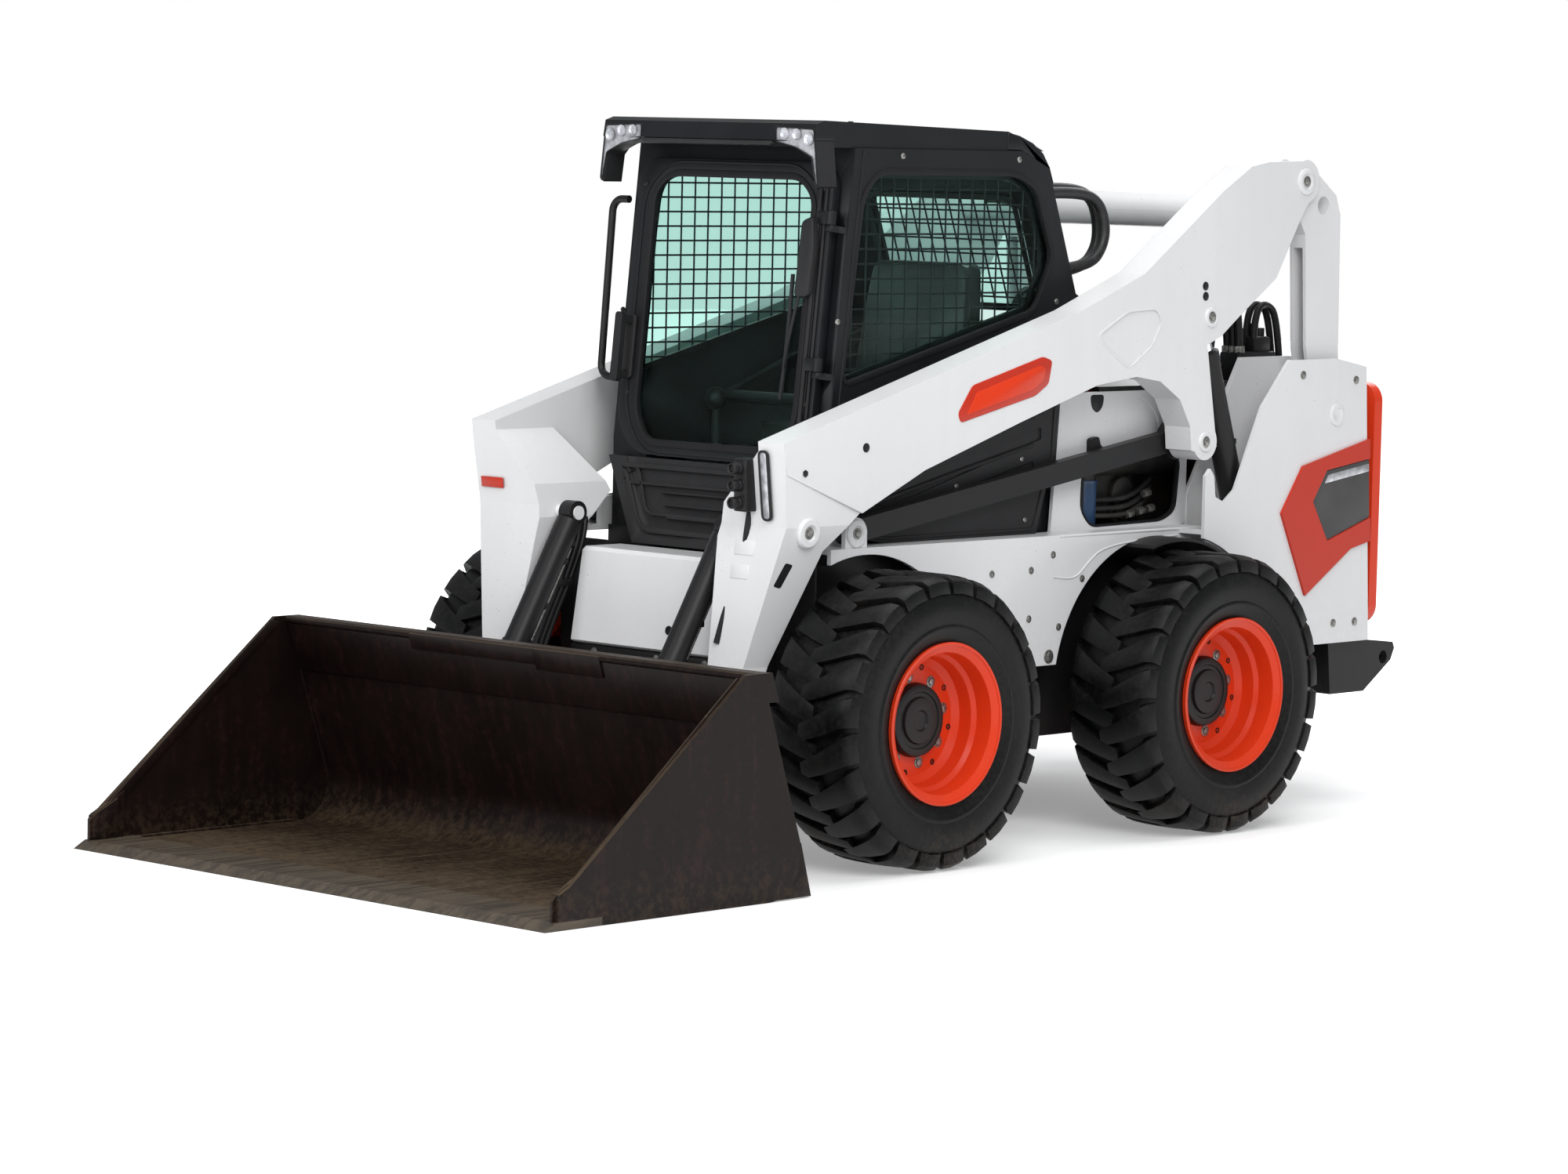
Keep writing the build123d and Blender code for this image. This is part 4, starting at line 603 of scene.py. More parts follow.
def drum(name, start, end, radius, vertices=24, rounding=0.002, end_radius=None):
    """A round bar from one point to another with rounded ends."""
    clear()
    start, end = Vector(start), Vector(end)
    run = end - start
    bpy.ops.mesh.primitive_cone_add(vertices=vertices, radius1=radius,
                                    radius2=radius if end_radius is None else end_radius, depth=run.length,
                                    location=(start + end) / 2,
                                    rotation=run.to_track_quat("Z", "Y").to_euler())
    piece = named(name)
    bpy.ops.object.transform_apply(location=True, rotation=True, scale=True)
    edit(piece)
    if rounding:
        pick(piece, "edges", lambda e: any(len(f.verts) > 4 for f in e.link_faces))
        bpy.ops.mesh.bevel(offset=rounding, segments=2, affect="EDGES", clamp_overlap=True)
    tidy()
    return piece


def lathe(name, section, centre, steps=56, axis=(0, 1, 0)):
    """Spin a closed section of (along the axis, radius) round the axis through centre."""
    axis, centre = Vector(axis), Vector(centre)
    out = axis.orthogonal().normalized()
    piece = ring(name, [centre + axis * along + out * radius for along, radius in section], filled=False)
    edit(piece)
    bpy.ops.mesh.spin(steps=steps, angle=2 * pi, center=centre, axis=axis)
    tidy()
    return piece


def curve_through(name, points, resolution=0):
    """A curve along points: straight runs, or a spline where a resolution is given."""
    clear()
    line = bpy.data.curves.new(name, "CURVE")
    line.dimensions = "3D"
    spline = line.splines.new("NURBS" if resolution else "POLY")
    spline.points.add(len(points) - 1)
    for point, place in zip(spline.points, points):
        point.co = (*place, 1.0)
    if resolution:
        spline.order_u = 3
        spline.use_endpoint_u = True
        spline.resolution_u = resolution
    return line


def pipe(name, points, radius, sides=3, smooth=True):
    """A round tube that follows points."""
    line = curve_through(name, points, PIPE_RESOLUTION if smooth else 0)
    line.bevel_depth = radius
    line.bevel_resolution = sides
    line.use_fill_caps = True
    piece = bpy.data.objects.new(name, line)
    bpy.context.collection.objects.link(piece)
    only(piece)
    bpy.ops.object.convert(target="MESH")
    return bpy.context.object


def copies(name, template, places):
    """Copies of a template at each matrix, joined into one piece; the template goes."""
    clear()
    made = []
    for place in places:
        piece = bpy.data.objects.new(name, template.data.copy())
        piece.matrix_world = place
        bpy.context.collection.objects.link(piece)
        made.append(piece)
    for piece in made:
        piece.select_set(True)
    bpy.context.view_layer.objects.active = made[0]
    bpy.ops.object.transform_apply(location=True, rotation=True, scale=True)
    if len(made) > 1:
        bpy.ops.object.join()
    joined = bpy.context.object
    joined.name = name
    bpy.data.objects.remove(template)
    return joined


def together(name, pieces):
    """Join several pieces into one."""
    clear()
    for piece in pieces:
        piece.select_set(True)
    bpy.context.view_layer.objects.active = pieces[0]
    if len(pieces) > 1:
        bpy.ops.object.join()
    piece = bpy.context.object
    piece.name = name
    piece.data.name = name
    return piece


def mirrored(piece, name):
    """A copy on the other side of the machine."""
    only(piece)
    twin = bpy.data.objects.new(name, piece.data.copy())
    bpy.context.collection.objects.link(twin)
    only(twin)
    for vertex in twin.data.vertices:
        vertex.co.y = -vertex.co.y
    edit(twin)
    bpy.ops.mesh.flip_normals()
    bpy.ops.object.mode_set(mode="OBJECT")
    return twin


def both_sides(name, pieces):
    """The pieces joined with their copies on the other side of the machine."""
    one = together(name, pieces)
    return together(name, [one, mirrored(one, name + "_twin")])


def set_down(piece, body, finish, smooth=35.0):
    """Give a finished piece its material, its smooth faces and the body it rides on."""
    only(piece)
    piece.data.materials.clear()
    piece.data.materials.append(finishes[finish])
    if smooth:
        bpy.ops.object.shade_smooth_by_angle(angle=radians(smooth), keep_sharp_edges=False)
    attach(piece, body)
    return piece


def repaint(node, finish):
    """Give a carried-over node its material."""
    nodes[node].data.materials.clear()
    nodes[node].data.materials.append(finishes[finish])


def facing(place, normal, turn=0.0):
    """Matrix that stands a template with its Z along normal at place."""
    return (Matrix.Translation(place) @ Vector(normal).to_track_quat("Z", "Y").to_matrix().to_4x4()
            @ Matrix.Rotation(turn, 4, "Z"))


def bolt_template(head, tall=0.55, washer=1.45):
    """A hexagon head on a washer, standing on Z 0."""
    base = drum("washer", (0, 0, -0.001), (0, 0, head * 0.16), head * washer, 20, head * 0.05)
    cap = drum("head", (0, 0, head * 0.12), (0, 0, head * tall), head, 6, head * 0.10)
    return together("bolt", [base, cap])


def dome_template(head):
    """A low round head with a socket, standing on Z 0."""
    cap = lathe("dome", [(-0.001, 0), (-0.001, head), (head * 0.25, head * 0.98), (head * 0.5, head * 0.72),
                         (head * 0.6, head * 0.42), (head * 0.6, head * 0.36), (head * 0.3, head * 0.30),
                         (head * 0.3, 0)], (0, 0, 0), 18, (0, 0, 1))
    return cap


def bolts(name, body, spots, head=None, finish="zinc", round_head=False):
    """Bolts at (place, normal) on a body."""
    head = head or sizes.bolt_head
    template = dome_template(head) if round_head else bolt_template(head)
    piece = copies(name, template,
                   [facing(place, normal, i * 0.7) for i, (place, normal) in enumerate(spots)])
    return set_down(piece, body, finish, 30)


def pair(x, y, z, out=1.0):
    """The same spot on both sides of the machine, with the outward direction."""
    return [(at(x, hand * y, z), (0, hand * out, 0)) for _, hand in SIDES]


def pairs(places, y):
    """Both sides' spots at each (x, z)."""
    return [spot for x, z in places for spot in pair(x, y, z)]


def rectangle(a0, b0, a1, b1):
    """The four corners of a flat rectangle."""
    return [(a0, b0), (a1, b0), (a1, b1), (a0, b1)]


def rounded(corners, rounding, steps=5):
    """A flat outline with each corner rounded, as a list of (a, b)."""
    made = []
    count = len(corners)
    for i, corner in enumerate(corners):
        corner = Vector(corner)
        before = (Vector(corners[i - 1]) - corner)
        after = (Vector(corners[(i + 1) % count]) - corner)
        cut = min(rounding, before.length * 0.45, after.length * 0.45)
        first, last = corner + before.normalized() * cut, corner + after.normalized() * cut
        for k in range(steps + 1):
            t = k / steps
            made.append(tuple((1 - t) ** 2 * first + 2 * t * (1 - t) * corner + t * t * last))
    return made


def frame_strip(name, inner, outer, place, depth, rounding=0.0):
    """A flat strip between two loops with the same number of points, pushed out by depth."""
    piece = ring(name, [place(*p) for p in outer], filled=False)
    other = ring(name + "_in", [place(*p) for p in inner], filled=False)
    piece = together(name, [piece, other])
    edit(piece)
    bpy.ops.mesh.select_mode(type="EDGE")
    bpy.ops.mesh.select_all(action="SELECT")
    bpy.ops.mesh.bridge_edge_loops()
    bpy.ops.mesh.select_all(action="SELECT")
    bpy.ops.mesh.extrude_region_move(TRANSFORM_OT_translate={"value": depth})
    bpy.ops.mesh.select_all(action="SELECT")
    bpy.ops.mesh.normals_make_consistent(inside=False)
    if rounding:
        bpy.ops.mesh.bevel(offset=rounding, segments=2, affect="EDGES", clamp_overlap=True)
    tidy()
    return piece


def scaled(outline, grow):
    """A flat outline with its corners moved in (or out) by about grow."""
    made = []
    count = len(outline)
    turn = sum(outline[i - 1][0] * outline[i][1] - outline[i][0] * outline[i - 1][1] for i in range(count))
    grow = grow if turn > 0 else -grow
    for i in range(count):
        a, b, c = (Vector(outline[(i + k) % count]) for k in (-1, 0, 1))
        along = (c - a).normalized()
        made.append(tuple(b + Vector((-along.y, along.x)) * grow))
    return made


# ---------------------------------------------------------------- pieces


DOOR_LEAN = radians(5.92)
DOOR_FOOT = (1.316, 1.213)      # (x, z) where the door's outer face starts


def door_x(z):
    """x of the door's outer face at a height, in metres."""
    return DOOR_FOOT[0] - (z - DOOR_FOOT[1]) * tan(DOOR_LEAN)


def door_at(a, b, c=0.0):
    """Point a to the left and b above the floor on the door's outer face, c in front of it."""
    return at(door_x(b) + c, a, b)


class LOADER_OT_tyres(bpy.types.Operator):
    """Four bias-ply tyres: a lathed casing with ribbed sidewalls and staggered bar lugs"""
    bl_idname = "loader.tyres"
    bl_label = "Tyres"

    def execute(self, context):
        reach = TYRE_HIGH.z - TYRE_MIDDLE.z
        half = (TYRE_HIGH.y - TYRE_LOW.y) / 2
        bead = 0.207
        floor = reach - sizes.lug_height
        # One half of the section, from the bead to the tread, and its mirror
        wall = [
            (half - 0.016, bead), (half - 0.016, bead + 0.020),
            (half - 0.010, bead + 0.030), (half - 0.004, bead + 0.052), (half - 0.001, bead + 0.056),
            (half - 0.001, bead + 0.064), (half - 0.004, bead + 0.068), (half, bead + 0.096),
            (half - 0.001, bead + 0.120), (half - 0.006, bead + 0.140), (half - 0.014, floor - 0.016),
            (half - 0.040, floor), (0.05, floor + 0.004),
        ]
        twin = [(-y, radius) for y, radius in reversed(wall)]
        casing = twin[-1:] + wall + twin[:-1]
        count = sizes.lug_count
        pitch = 2 * pi / count
        # (share of the way from the middle to the shoulder, lag in radians, half width, radius)
        track = [
            (-0.17, -0.030, 0.024, reach - 0.001), (0.10, 0.006, 0.028, reach), (0.36, 0.046, 0.032, reach),
            (0.62, 0.092, 0.036, reach - 0.001), (0.82, 0.128, 0.039, reach - 0.003),
            (0.945, 0.146, 0.041, reach - 0.016), (0.975, 0.150, 0.041, reach - 0.050),
        ]
        for place, (x, hand) in PLACES.items():
            centre = at(x, hand * TYRE_MIDDLE.y, AXLE_Z)
            parts = [lathe("casing", casing, centre, 96)]
            for outer in (1, -1):
                clear()
                bpy.ops.mesh.primitive_grid_add(x_subdivisions=len(track) - 1, y_subdivisions=2, size=1.0)
                lug = named("lug")
                rows = sorted({round(v.co.x, 4) for v in lug.data.vertices})
                for vertex in lug.data.vertices:
                    share, lag, width, radius = track[rows.index(round(vertex.co.x, 4))]
                    lift = -0.0015 if abs(vertex.co.y) > 0.1 else 0.0
                    angle = -lag + (vertex.co.y * 2) * width / radius
                    vertex.co = ((radius + lift) * sin(angle), outer * share * half,
                                 (radius + lift) * cos(angle))
                edit(lug)
                bpy.ops.mesh.normals_make_consistent(inside=False)
                bpy.ops.mesh.select_all(action="SELECT")
                mesh = bmesh.from_edit_mesh(lug.data)
                if sum(f.normal.z for f in mesh.faces) < 0:
                    bpy.ops.mesh.flip_normals()
                bpy.ops.object.mode_set(mode="OBJECT")
                body = lug.modifiers.new("wall", "SOLIDIFY")
                body.thickness = sizes.lug_height + 0.012
                body.offset = -1.0
                only(lug)
                bpy.ops.object.modifier_apply(modifier="wall")
                soft = lug.modifiers.new("soft", "BEVEL")
                soft.width = 0.0035
                soft.segments = 2
                soft.limit_method = "ANGLE"
                soft.angle_limit = radians(38)
                bpy.ops.object.modifier_apply(modifier="soft")
                shift = pitch / 2 if outer < 0 else 0.0
                parts.append(copies("lugs", lug, [Matrix.Translation(centre)
                                                  @ Matrix.Rotation(i * pitch + shift, 4, "Y")
                                                  for i in range(count)]))
            tyre = together(f"tread_{place}", parts)
            set_down(tyre, f"wheel_{place}", "tyre_rubber", smooth=40)
            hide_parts(f"tyre_{place}")
        return {"FINISHED"}


class LOADER_OT_wheel_trim(bpy.types.Operator):
    """Black hub covers, wheel nuts, bead rings and tyre valves"""
    bl_idname = "loader.wheel_trim"
    bl_label = "Wheel trim"

    def execute(self, context):
        for place, (x, hand) in PLACES.items():
            body = f"wheel_{place}"

            def on(y, radius=0.0, angle=0.0):
                return at(x + radius * sin(angle), hand * y, AXLE_Z + radius * cos(angle))

            cover = [(0.7345, 0.094), (0.7345, 0.1035), (0.742, 0.1035), (0.756, 0.0985), (0.758, 0.090),
                     (0.758, 0.080), (0.752, 0.077), (0.752, 0.066), (0.762, 0.063), (0.7635, 0.050),
                     (0.7635, 0.030), (0.758, 0.026), (0.758, 0.0), (0.7475, 0.0), (0.7475, 0.060),
                     (0.7545, 0.064), (0.7545, 0.0945)]
            hub = lathe("hub", [((y - 0.7) * hand, r) for y, r in cover], on(0.7), 48)
            set_down(hub, body, "black_paint", smooth=30).name = f"hub_cover_{place}"
            ring_piece = lathe("bead_ring", [((y - 0.7) * hand, r) for y, r in (
                (0.8565, 0.2165), (0.8565, 0.2245), (0.860, 0.2262), (0.862, 0.2240), (0.862, 0.2185),
                (0.8605, 0.2165))], on(0.7), 72)
            set_down(ring_piece, body, "orange_paint", smooth=40).name = f"bead_ring_{place}"
            bolts(f"wheel_nuts_{place}", body,
                  [(on(0.7338, 0.122, k * pi / 4 + 0.2), (0, hand, 0)) for k in range(8)], 0.0115)
            bolts(f"hub_bolts_{place}", body,
                  [(on(0.7515, 0.0715, k * pi / 5), (0, hand, 0)) for k in range(10)], 0.005, "black_paint")
            # Painted shade: small dark discs stand for the shade in the wheel disc's small recesses.
            dots = [lathe("recess", [(0.7335, 0.0), (0.7335, 0.0085), (0.7352, 0.0085), (0.7352, 0.0055),
                                     (0.7340, 0.005), (0.7340, 0.0)], (0, 0, 0), 16, (0, 0, 1))]
            vent_shade = copies(f"wheel_vents_{place}", dots[0],
                          [Matrix.Translation(on(0.0, 0.147, k * pi / 4 + 0.59))
                           @ Vector((0, hand, 0)).to_track_quat("Z", "X").to_matrix().to_4x4()
                           for k in range(8)])
            set_down(vent_shade, body, "gasket")
            valve = drum("valve", on(0.770, 0.190, 2.2), on(0.812, 0.184, 2.2), 0.004, 12, 0.001)
            cap = drum("cap", on(0.812, 0.184, 2.2), on(0.824, 0.1825, 2.2), 0.0055, 12, 0.001)
            set_down(together("v", [valve, cap]), body, "gasket").name = f"valve_{place}"
        return {"FINISHED"}


def crossing(outline, axis, value):
    """Where a line across a convex outline enters and leaves it."""
    hits = []
    for i, a in enumerate(outline):
        b = outline[(i + 1) % len(outline)]
        if (a[axis] - value) * (b[axis] - value) < 0:
            t = (value - a[axis]) / (b[axis] - a[axis])
            hits.append(a[1 - axis] + (b[1 - axis] - a[1 - axis]) * t)
    return (min(hits), max(hits)) if len(hits) >= 2 else None


def guard(name, outline, place, pitch_a, pitch_b, wire):
    """A welded wire guard over an outline: upright and level wires with a flat border."""
    inner = rounded(scaled(outline, 0.016), 0.04)
    parts = []
    low = [min(p[k] for p in inner) for k in (0, 1)]
    high = [max(p[k] for p in inner) for k in (0, 1)]
    for axis, pitch, lift in ((0, pitch_a, wire * 0.9), (1, pitch_b, -wire * 0.9)):
        value = low[axis] + pitch * 0.6
        while value < high[axis]:
            cross = crossing(inner, axis, value)
            if cross:
                a, b = [(value, end) if axis == 0 else (end, value) for end in cross]
                parts.append(drum("wire", place(*a, lift), place(*b, lift), wire, 6, 0))
            value += pitch
    inner = rounded(scaled(outline, 0.024), 0.035)
    outer = rounded(scaled(outline, 0.006), 0.045)
    depth = Vector(place(0, 0, wire * 2.4)) - Vector(place(0, 0, -wire * 2.4))
    parts.append(frame_strip("border", inner, outer, lambda a, b: place(a, b, -wire * 2.4), depth))
    return together(name, parts)


def cut(piece, cutters):
    """Cut shapes out of a piece; the cutters go."""
    for cutter in cutters:
        hole = piece.modifiers.new("hole", "BOOLEAN")
        hole.operation = "DIFFERENCE"
        hole.solver = "EXACT"
        hole.object = cutter
        only(piece)
        bpy.ops.object.modifier_apply(modifier="hole")
        bpy.data.objects.remove(cutter)
    return piece


def copy_of(node, name):
    """A merged copy of a carried-over solid, to be cut to shape."""
    clear()
    piece = bpy.data.objects.new(name, nodes[node].data.copy())
    bpy.context.collection.objects.link(piece)
    edit(piece)
    bpy.ops.mesh.remove_doubles(threshold=MERGE)
    bpy.ops.object.mode_set(mode="OBJECT")
    return piece


SIDE_PANE = [(1.176, 1.843), (1.106, 1.915), (0.519, 1.915), (0.424, 1.870), (0.346, 1.666), (0.427, 1.508),
             (1.240, 1.310)]
DOOR_PANE = [(-0.323, 1.835), (-0.258, 1.896), (0.258, 1.896), (0.323, 1.835), (0.323, 1.205), (0.262, 1.118),
             (-0.262, 1.118), (-0.323, 1.205)]
HINGE_OUT = 0.014               # hinge line in front of the door's face
DOOR_RIM = [(-0.385, 1.885), (-0.335, 1.935), (0.335, 1.935), (0.385, 1.885), (0.385, 1.170), (0.302, 1.086),
            (-0.302, 1.086), (-0.385, 1.170)]


class LOADER_OT_cab_shell(bpy.types.Operator):
    """Door glazed down to the knee, the cab opened behind it and the toe panel under it"""
    bl_idname = "loader.cab_shell"
    bl_label = "Cab shell, door and toe panel"

    def execute(self, context):
        shell = copy_of("cab_frame", "cab_shell")
        knee = [(-0.340, 1.240), (0.340, 1.240), (0.340, 1.190), (0.290, 1.098), (-0.290, 1.098),
                (-0.340, 1.190)]
        cut(shell, [slab("cutter", [at(1.20, a, b) for a, b in knee], (0.25, 0, 0))])
        set_down(shell, "frame", "cab_paint", smooth=30)
        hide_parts("cab_frame")
        toe = copy_of("toe_panel", "toe_shell")
        cut(toe, [block("cutter", at(1.20, -0.6, 1.078), at(1.45, 0.6, 1.3), 0.001)])
        set_down(toe, "frame", "black_plastic", smooth=30)
        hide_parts("toe_panel")

        outer, inner = rounded(DOOR_RIM, 0.055, 6), rounded(DOOR_PANE, 0.050, 6)
        rim = frame_strip("door_rim", inner, outer, lambda a, b: door_at(a, b, -0.031), (0.031, 0, 0), 0.003)
        knuckles = []
        lean = Vector((-sin(DOOR_LEAN), 0, cos(DOOR_LEAN)))
        for rise in (0.150, 0.560):
            foot = at(door_x(DOOR_FOOT[1]) + HINGE_OUT * cos(DOOR_LEAN), 0.401,
                      DOOR_FOOT[1] + HINGE_OUT * sin(DOOR_LEAN))
            foot = foot + lean * (rise - 0.010)
            knuckles.append(lathe("knuckle", [(0, 0.0080), (0, 0.0140), (0.038, 0.0140), (0.038, 0.0080)],
                                  foot, 28,
                                  lean))
            knuckles.append(block("strap", foot + Vector((-0.013, -0.052, 0.001)),
                                  foot + Vector((-0.002, -0.010, 0.037)),
                                  0.002))
        rim = together("door_rim", [rim] + knuckles)
        set_down(rim, "door", "cab_paint")
        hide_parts("door_frame")
        pane = slab("door_pane",
                    [door_at(a, b, -0.018) for a, b in rounded(scaled(DOOR_PANE, -0.004), 0.05, 6)],
                    (0.006, 0, 0))
        set_down(pane, "door", "tinted_glass")
        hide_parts("door_glass")
        return {"FINISHED"}


REAR_PANE_X, REAR_PANE_Z = 0.232, 1.517         # foot of the rear window's plane
REAR_PANE_SLOPE = (0.382 - REAR_PANE_X) / (1.927 - REAR_PANE_Z)


class LOADER_OT_glazing(bpy.types.Operator):
    """Rubber seals round every pane and wire guards inside the side and rear windows"""
    bl_idname = "loader.glazing"
    bl_label = "Seals and window guards"

    def execute(self, context):
        face = span("cab_frame")[1].y
        seal = sizes.gasket
        outline = SIDE_PANE
        outer, inner = rounded(scaled(outline, -seal * 0.45), 0.05), rounded(scaled(outline, seal), 0.035)
        strip = frame_strip("seal", inner, outer, lambda a, b: at(a, face - 0.0135, b), (0, 0.0165, 0), 0.002)
        set_down(both_sides("side_seals", [strip]), "frame", "gasket")
        depth = face - 0.036
        for name, hand in SIDES:
            piece = guard(f"side_guard_{name}", outline, lambda a, b, c, h=hand: at(a, h * (depth + c), b),
                          sizes.guard_pitch, 0.042, sizes.guard_wire)
            set_down(piece, "frame", "black_paint")
        low, high, _ = span("rear_window")
        rear = rectangle(-0.300, low.z, 0.300, high.z)

        def rear_at(a, b, c=0.0):
            return at(REAR_PANE_X + (b - REAR_PANE_Z) * REAR_PANE_SLOPE + 0.040 + c, a, b)

        piece = guard("rear_guard", rear, rear_at, 0.050, 0.042, sizes.guard_wire)
        set_down(piece, "frame", "black_paint")
        strip = frame_strip("rear_seal", rounded(scaled(rear, seal), 0.03),
                            rounded(scaled(rear, -0.003), 0.05),
                            lambda a, b: rear_at(a, b, -0.045), (0.012, 0, 0), 0.002)
        set_down(strip, "frame", "gasket")
        pane = DOOR_PANE
        strip = frame_strip("door_seal", rounded(scaled(pane, seal), 0.045),
                            rounded(scaled(pane, -seal * 0.5), 0.07),
                            lambda a, b: door_at(a, b, -0.014), (0.0165, 0, 0), 0.002)
        set_down(strip, "door", "gasket")
        ledge = frame_strip("door_rib", rounded(scaled(pane, -0.026), 0.06),
                            rounded(scaled(pane, -0.033), 0.065),
                            lambda a, b: door_at(a, b, -0.003), (0.007, 0, 0), 0.002)
        set_down(ledge, "door", "cab_paint")
        return {"FINISHED"}


class LOADER_OT_lamps(bpy.types.Operator):
    """Twin round work lamps in each roof corner, under a clear cover with a black rim"""
    bl_idname = "loader.lamps"
    bl_label = "Roof lamps"

    def execute(self, context):
        front = span("work_lamps")[1].x - REAR
        shell = [(0.266, 2.030), (0.412, 2.024), (0.430, 1.872), (0.421, 1.868), (0.404, 1.947),
                 (0.342, 1.973),
                 (0.266, 1.988)]
        lamps, bowls, rims = [], [], []
        for _, hand in SIDES:
            spot = [(hand * y, z) for y, z in shell]
            outer, inner = rounded(spot, 0.008, 3), rounded(scaled(spot, 0.0025), 0.007, 3)
            rims.append(frame_strip("rim", inner, outer, lambda a, b: at(front - 0.002, a, b), (0.007, 0, 0),
                                    0.001))
            rims.append(slab("pod", [at(front - 0.060, y, z) for y, z in outer], (0.0585, 0, 0), 0.004))
            bowls.append(slab("back", [at(front - 0.0012, y, z) for y, z in inner], (0.0022, 0, 0)))
            for y, z, r in ((0.300, 2.0105, 0.0165), (0.346, 2.009, 0.0165), (0.392, 1.996, 0.018)):
                bowls.append(lathe("bowl", [(-0.003, 0.0), (-0.003, r * 0.5), (0.0035, r), (0.0055, r),
                                            (0.0055, r * 0.88), (0.0, r * 0.45), (0.0, 0.0)],
                                   at(front, hand * y, z), 28, (1, 0, 0)))
                lamps.append(lathe("lens",
                                   [(0.0015, 0.0), (0.0045, r * 0.5), (0.0035, r * 0.86), (0.005, r * 0.86),
                                            (0.0065, r * 0.45), (0.0072, 0.0)],
                                   at(front, hand * y, z), 24, (1, 0, 0)))
        set_down(together("lamp_rims", rims), "frame", "black_plastic")
        set_down(together("lamp_bowls", bowls), "frame", "lamp_bowl", smooth=40)
        set_down(together("lamp_lenses", lamps), "frame", "lamp_lens", smooth=60)
        # Brow that shades the lamps and the door, and grooves pressed along the roof
        brow = slab("roof_brow", [at(1.330, y, z) for y, z in rounded(
            [(-0.258, 1.9905), (0.258, 1.9905), (0.252, 1.978), (-0.252, 1.978)], 0.004, 2)], (0.036, 0, 0),
                    0.003)
        set_down(brow, "frame", "black_plastic")
        ribs = []
        for y in (-0.20, 0.0, 0.20):
            ribs.append(slab("rib", [at(a, y + b, 2.0395) for a, b in rounded(
                rectangle(0.70, -0.035, 1.27, 0.035), 0.03, 4)], (0, 0, 0.0105), 0.004))
        for rib in ribs:
            for vertex in rib.data.vertices:
                x = vertex.co.x - REAR
                vertex.co.z += -0.019 * (1.322 - x) / 0.765 + 0.0002
        set_down(together("roof_ribs", ribs), "frame", "cab_paint")
        tail = [(0.560, 2.0285), (0.505, 2.019), (0.448, 1.999), (0.402, 1.970), (0.372, 1.930),
                (0.352, 1.882),
                (0.364, 1.878), (0.382, 1.927), (0.500, 1.9755), (0.560, 1.9755)]
        tail = slab("roof_tail", [at(a, 0.4215, b) for a, b in tail], (0, -0.843, 0), 0.006, 3)
        set_down(tail, "frame", "cab_paint")
        mast = drum("mast", at(1.125, 0.330, 2.035), at(1.125, 0.330, 2.049), 0.008, 14, 0.002)
        set_down(mast, "frame", "black_plastic").name = "aerial_foot"
        return {"FINISHED"}


LEG_KNEE_Z = 0.946
LEG_SLOPE = 0.1164              # of the front face above the knee
LEG_FOOT_SLOPE = 0.1684         # of the same face below it


def leg_front(z, x=1.647):
    """x of the leg's front face at a height, in metres."""
    return x + (z - LEG_KNEE_Z) * LEG_SLOPE


def leg_face(z):
    """y of the outer face of the arm's leg at a height."""
    for (z0, y0), (z1, y1) in (((1.120, 0.620), (LEG_KNEE_Z, 0.609)), ((LEG_KNEE_Z, 0.609), (0.560, 0.520))):
        if z >= z1:
            return y0 + (y1 - y0) * min(max((z0 - z) / (z0 - z1), 0), 1)
    return 0.520


